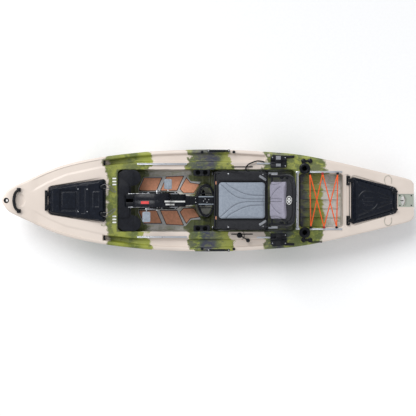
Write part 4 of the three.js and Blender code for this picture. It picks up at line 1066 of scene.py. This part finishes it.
slab("tank_bulkhead_pad", 854, 0, 262, 352, 4, 236, RUBBER, 3, slot_name="black_rubber")
for side, word in SIDES:
    for k, x in enumerate((1787, 1896)):
        bolt(f"stern_bolt_{word}_{k}", x, side * 46, top_of([hull], x, side * 46) or 318, "hull", 6.5, BLACK)
    bolt(f"crossbar_bolt_{word}", 829, side * 262, 395.5, "hull", 6)
rim = [(x, y, (top_of([hull], x, y) or 318) + 1)
       for x, y in arc_corners([(1797, -41), (1841, -41), (1841, 41), (1797, 41)], 18)]
trim(sweep("stern_slot_rim", rim, round_section(3.2, 10), PLAIN_RIM, True), slot_name="hull_plastic")
CABLE = [(290, -324, 316), (420, -324, 300), (700, -330, 285), (890, -356, 270), (1000, -338, 262),
         (1200, -298, 250), (1300, -240, 240), (1450, -130, 212), (1600, -64, 178)]
fit(tube("rudder_cable_housing", CABLE, 3.5, RUBBER), "hull", "black_rubber", "rudder_cable")


# ------------------------------------------------------------------ seat
def crowned(node, name, material, cap_mm=9, pressure=4.0, shrink=0.985):
    """A cushion blown up gently from a node's shape, no face moving further than the cap."""
    obj = bare_copy(node, name)
    centre = sum((Vector(c) for c in obj.bound_box), Vector()) / 8
    for v in obj.data.vertices:
        v.co = centre + (v.co - centre) * shrink
    remesh = obj.modifiers.new("remesh", "REMESH")
    remesh.mode = "VOXEL"
    remesh.voxel_size = 0.0055
    apply_modifiers(obj)
    rest = np.array([v.co for v in obj.data.vertices])
    cloth = obj.modifiers.new("fill", "CLOTH")
    settings = {"use_pressure": True, "uniform_pressure_force": pressure, "quality": 6, "mass": 0.3,
                "tension_stiffness": 18, "compression_stiffness": 18, "shear_stiffness": 8,
                "bending_stiffness": 0.6}
    for key, value in settings.items():
        setattr(cloth.settings, key, value)
    cloth.settings.effector_weights.gravity = 0.0
    scene = bpy.context.scene
    cloth.point_cache.frame_start = 1
    cloth.point_cache.frame_end = 20
    for f in range(1, 21):
        scene.frame_set(f)
    apply_modifiers(obj)
    scene.frame_set(1)
    moved = np.array([v.co for v in obj.data.vertices])
    step = moved - rest
    length = np.linalg.norm(step, axis=1, keepdims=True)
    step *= np.minimum(1.0, cap_mm * MM / np.maximum(length, 1e-9))
    obj.data.vertices.foreach_set("co", (rest + step).ravel())
    obj.data.update()
    sub = obj.modifiers.new("fine", "SUBSURF")
    sub.levels = sub.render_levels = 1
    apply_modifiers(obj)
    obj.data.materials.clear()
    obj.data.materials.append(material)
    soften(obj, 180)
    return obj


def curve_distance(points, px, py):
    best = np.full(px.shape, 1e9)
    for a, b in zip(points, points[1:]):
        ex, ey = b[0] - a[0], b[1] - a[1]
        t = np.clip(((px - a[0]) * ex + (py - a[1]) * ey) / (ex * ex + ey * ey + 1e-9), 0, 1)
        best = np.minimum(best, np.hypot(px - a[0] - ex * t, py - a[1] - ey * t))
    return best


HINGE = Vector((568, 0, 512))
LEAN = math.radians(30)
UP = Vector((math.sin(LEAN), 0, math.cos(LEAN)))
OUT = Vector((-math.cos(LEAN), 0, math.sin(LEAN)))


def on_back(s, y, n):
    """A place on the seat back: s up along it, n out towards the paddler, in mm."""
    p = HINGE + UP * s + OUT * n
    return Vector((p.x, y, p.z))


def quilt(obj, curves, depth, width, flat, facing):
    """Presses seam lines into the faces of a cushion that look along facing."""
    co = np.array([v.co for v in obj.data.vertices]) / MM
    normals = np.array([v.normal for v in obj.data.vertices])
    px, py = flat(co)
    facing = np.array(facing)
    front = np.clip(normals @ facing, 0, 1) ** 0.5
    press = np.zeros(len(co))
    for curve in curves:
        d = curve_distance(curve, px, py)
        press = np.maximum(press, np.exp(-(d / width) ** 2))
    co -= facing[None, :] * (depth * press * front)[:, None]
    obj.data.vertices.foreach_set("co", (co * MM).ravel())
    obj.data.update()


def stitched(name, obj, points, cast_from, direction, finish, body, radius=1.3):
    """A thread that lies on a cushion along a line."""
    path = []
    for p in smooth_path(points, 8):
        hit, where, normal, _ = obj.ray_cast((p + cast_from) * MM, direction)
        if hit:
            path.append(where / MM + normal * 0.4)
    if len(path) > 3:
        trim(sweep(name, path, round_section(radius, 6), finish), body, "seat_fabric")


SEAT_SEAMS = [[(150, 176), (196, 132), (269, 92), (324, 66), (392, 50), (461, 45), (536, 44)],
              [(92, 168), (150, 118), (214, 62), (276, 28), (351, 14), (447, 12), (536, 13)]]
seams = SEAT_SEAMS + [[(x, -y) for x, y in line] for line in SEAT_SEAMS]
seams = [[(p.x, p.y) for p in smooth_path([(x, y, 0) for x, y in line], 6)] for line in seams]
cushion = crowned("seat_cushion", "seat_cushion_pad", CLOTH)
quilt(cushion, seams, 4.5, 6.0, lambda co: (co[:, 0], co[:, 1]), (0, 0, 1))
fit(cushion, "seat", "seat_fabric", "seat_cushion")
for k, line in enumerate(seams):
    stitched(f"seat_seam_{k}", cushion, [Vector((x, y, 0)) for x, y in line[::3]], Vector((0, 0, 600)),
             Vector((0, 0, -1)), THREAD, "seat")
piping = [(x, y, 492) for x, y in arc_corners([(80, -182), (540, -182), (540, 182), (80, 182)], 42, 8)]
trim(sweep("seat_piping", piping, round_section(3.2, 10), CLOTH_DARK, True), "seat", "seat_fabric")

sling = prism("seat_sling_cloth", arc_corners([(74, -262), (530, -262), (530, 262), (74, 262)], 14), 474, 478,
              CLOTH_DARK, "XY", 1.5, 2)
fit(sling, "seat", "seat_webbing", "seat_sling")
SIDE_PATH = [(62, 212), (62, 400), (74, 452), (112, 480), (300, 480), (494, 480), (530, 452), (540, 400), (540, 212)]
BRACKET = arc_corners([(500, 462), (540, 462), (582, 505), (578, 526), (560, 526), (500, 490)], 5)
tubes = []
SEAT_HALF, SEAT_LEGS = 255, (62, 540)
for side, word in SIDES:
    tubes.append(tube(f"seat_hoop_{word}", [(x, side * SEAT_HALF, z) for x, z in SIDE_PATH], 12, TUBE, 8, 20,
                      up=Vector((0, 1, 0))))
    tubes.append(prism(f"seat_bracket_{word}", BRACKET, side * 244 - 4, side * 244 + 4, TUBE, "XZ", 1.5, 2))
    tubes.append(turned(f"seat_pivot_{word}", [(0, -15), (5, -15), (5, 15), (0, 15)], (568, side * 229, 512), "Y",
                        STEEL, 20))
for x in SEAT_LEGS:
    tubes.append(tube(f"seat_cross_{x}", [(x, y, 430) for y in (-SEAT_HALF, 0, SEAT_HALF)], 11, TUBE, 6, 20))
fit(fuse("seat_frame_tubes", tubes), "seat", "seat_tube", "seat_frame")
BOLSTER = arc_corners([(92, 186), (530, 186), (540, 200), (540, 246), (500, 262), (130, 262), (92, 240)], 16)
STRAP_TAIL = [(470, 226, 500), (498, 210, 503), (518, 196, 501), (534, 190, 495)]
for side, word in SIDES:
    for x in SEAT_LEGS:
        slab(f"seat_foot_{word}_{x}", x, side * SEAT_HALF, 213, 236, 22, 17, edge=5, body="seat")
    bolster = prism(f"seat_bolster_{word}", mirrored(BOLSTER, side), 482, 499, CLOTH_DARK, "XY", 7, 4)
    trim(bolster, "seat", "seat_webbing")
    wrap = [(x, side * SEAT_HALF, 481) for x in (120, 300, 488)]
    trim(tube(f"seat_sleeve_{word}", wrap, 15.5, CLOTH_DARK, 8, 24), "seat", "seat_webbing")
    for k, x in enumerate((150, 260, 370, 480)):
        slab(f"seat_lace_{word}_{k}", x, side * 272, 458, 494, 13, 2.2, WEBBING, 1, "seat", "seat_webbing")
    bolt(f"seat_bolt_{word}", 184, side * 246, 499, "seat", 8)
    bolt(f"seat_rear_bolt_{word}", 505, side * 240, 499, "seat", 6)
    trim(sweep(f"seat_strap_tail_{word}", smooth_path(over_side(STRAP_TAIL, side), 6),
               [(-11, -1.2), (11, -1.2), (11, 1.2), (-11, 1.2)], GREY_STRAP), "seat", "seat_webbing")
    disc(f"seat_lock_{word}", [(0, 0), (16, 0), (19, 4 * side), (19, 14 * side), (15, 18 * side), (0, 19 * side)],
         (540, side * 262, 436), "Y", body="seat")
    slab(f"seat_front_tab_{word}", 77, side * 162, 441, 452, 11, 15, FOAM, 3, "seat", "foot_foam")


def back_sheet(name, outline, n0, n1, material, edge=2.0, segments=2):
    """A flat outline (s, y) on the seat back, from n0 to n1 out from the hinge plane."""
    count = len(outline)
    verts = [on_back(s, y, n0) for s, y in outline] + [on_back(s, y, n1) for s, y in outline]
    faces = [tuple(range(count)), tuple(range(count, 2 * count))]
    faces += [(i, (i + 1) % count, count + (i + 1) % count, count + i) for i in range(count)]
    obj = outward(mesh_object(name, verts, faces, material))
    if edge:
        rounded_edges(obj, edge, segments, 50)
    return obj


hoop = [(-12, -222), (90, -222), (200, -222), (330, -222), (392, -196), (418, -140), (424, 0), (418, 140), (392, 196),
        (330, 222), (200, 222), (90, 222), (-12, 222)]
hoop_path = [on_back(s, y, 0) for s, y in hoop]
back_tubes = [tube("back_hoop", hoop_path, 11, TUBE, 8, 20, up=UP.cross(Vector((0, 1, 0)))),
              tube("back_lower", [on_back(34, y, 0) for y in (-222, 0, 222)], 9, TUBE, 6, 16)]
fit(fuse("back_frame_tubes", back_tubes), "seat_back", "seat_tube", "seat_back_frame")
lean_panel = [(46, -176), (150, -150), (262, -206), (330, -212), (386, -186), (408, -130), (412, 0), (408, 130),
              (386, 186), (330, 212), (262, 206), (150, 150), (46, 176)]
panel = back_sheet("back_panel_cloth", arc_corners([(s, -y) for s, y in lean_panel], 22), -5, 4, CLOTH_DARK, 3, 3)
fit(panel, "seat_back", "seat_webbing", "seat_back_panel")
collar = [(290, -186), (352, -182), (388, -140), (398, 0), (388, 140), (352, 182), (290, 186), (318, 70), (324, 0),
          (318, -70)]
trim(back_sheet("back_collar", arc_corners([(s, -y) for s, y in collar], 14), 2, 15, CLOTH_DARK, 6, 4), "seat_back",
     "seat_webbing")
BACK_SEAMS = [[(52, 10), (110, 62), (170, 100), (236, 124)], [(52, 10), (150, 14), (262, 10)],
              [(60, 150), (150, 146), (240, 160)]]
back_lines = [[(p.x, p.y) for p in smooth_path([(s, y, 0) for s, y in line], 6)] for line in BACK_SEAMS]
back_lines += [[(s, -y) for s, y in line] for line in back_lines]


def back_flat(co):
    rel = co - np.array(HINGE)[None, :]
    return rel @ np.array(UP), co[:, 1]


back_pad = crowned("seat_back_cushion", "seat_back_pad", CLOTH_BACK)
co = np.array([v.co for v in back_pad.data.vertices]) / MM
s_at, y_at = back_flat(co)
limit = 285 + 26 * (np.abs(y_at) / 178) ** 2
low = s_at[s_at > 40].min()
shorter = low + (s_at - low) * (limit - low) / (s_at.max() - low)
co += np.array(UP)[None, :] * (shorter - s_at)[:, None]
foot = np.clip((96 - back_flat(co)[0]) / 50, 0, 1) ** 1.5
co += np.array([-4.0, 0.0, 3.0])[None, :] * foot[:, None]
co[:, 1] *= 1 + 0.05 * foot
back_pad.data.vertices.foreach_set("co", (co * MM).ravel())
back_pad.data.update()
quilt(back_pad, back_lines, 4.5, 6.0, back_flat, tuple(OUT))
fit(back_pad, "seat_back", "seat_fabric", "seat_back_cushion")
for k, line in enumerate(back_lines):
    stitched(f"back_seam_{k}", back_pad, [on_back(s, y, 0) for s, y in line[::3]], OUT * 300, -OUT, THREAD,
             "seat_back")
emblem = []
outer = [(350 + 44 * math.cos(a), 36 * math.sin(a)) for a in np.linspace(0, 2 * math.pi, 41)[:-1]]
emblem.append(sweep("emblem_ring", [on_back(s, y, 16.2) for s, y in outer],
                    [(-2.6, -0.8), (2.6, -0.8), (2.6, 0.8), (-2.6, 0.8)], WHITE, True, OUT))
for k in range(6):
    a = math.radians(60 * k)
    blade = [(350 + 1.2 * r * math.cos(a + turn), r * math.sin(a + turn))
             for r, turn in ((8, -0.5), (25, -0.3), (25, 0.3), (8, 0.5))]
    emblem.append(back_sheet(f"emblem_{k}", blade, 15.2, 16.8, WHITE, 0))
trim(fuse("back_emblem", emblem), "seat_back", "seat_webbing")
for side, word in SIDES:
    near, far = side * 206 - 10, side * 206 + 12
    for k, s in enumerate((200, 300)):
        clip = [(s - 16, near), (s + 16, near), (s + 16, far), (s - 16, far)]
        trim(back_sheet(f"back_clip_{word}_{k}", clip, -14, 14, BLACK, 4, 3), "seat_back")


# ------------------------------------------------------------------ floor, light and camera
def studio():
    floor_finish = plain("floor", (0.93, 0.93, 0.93), 0.85, vary=0.01, grain=60.0, relief=0.02)
    floor = mesh_object("floor", [(-9000, -9000, -1), (9000, -9000, -1), (9000, 9000, -1), (-9000, 9000, -1)],
                        [(0, 1, 2, 3)], floor_finish)
    bpy.context.scene.view_settings.view_transform = "Standard"
    world = bpy.data.worlds.new("studio")
    bpy.context.scene.world = world
    world.use_nodes = True
    back = world.node_tree.nodes["Background"]
    back.inputs[0].default_value = (0.95, 0.97, 1.0, 1)
    back.inputs[1].default_value = 0.56
    sun = bpy.data.lights.new("key", "SUN")
    sun.energy = 1.75
    sun.angle = 0.6
    link(bpy.data.objects.new("key", sun)).rotation_euler = (math.radians(-34), math.radians(-22), 0)
    for name, place, size, power in (("fill", (2.6, -2.8, 3.6), 3.6, 30), ("end", (-4.2, 0.9, 2.6), 1.6, 45)):
        lamp = bpy.data.lights.new(name, "AREA")
        lamp.energy = power
        lamp.size = size
        obj = link(bpy.data.objects.new(name, lamp))
        obj.location = place
        obj.rotation_euler = (Vector((0, 0, 0.3)) - Vector(place)).to_track_quat("-Z", "Y").to_euler()
    lens = bpy.data.cameras.new("camera")
    distance, view_width, sensor = 16.0, 3.877, 36
    lens.sensor_width = sensor
    lens.lens = sensor * distance / view_width
    lens.clip_end = 60
    camera = link(bpy.data.objects.new("camera", lens))
    camera.location = (-0.004, -0.070, 0.35 + distance)
    bpy.context.scene.camera = camera


studio()
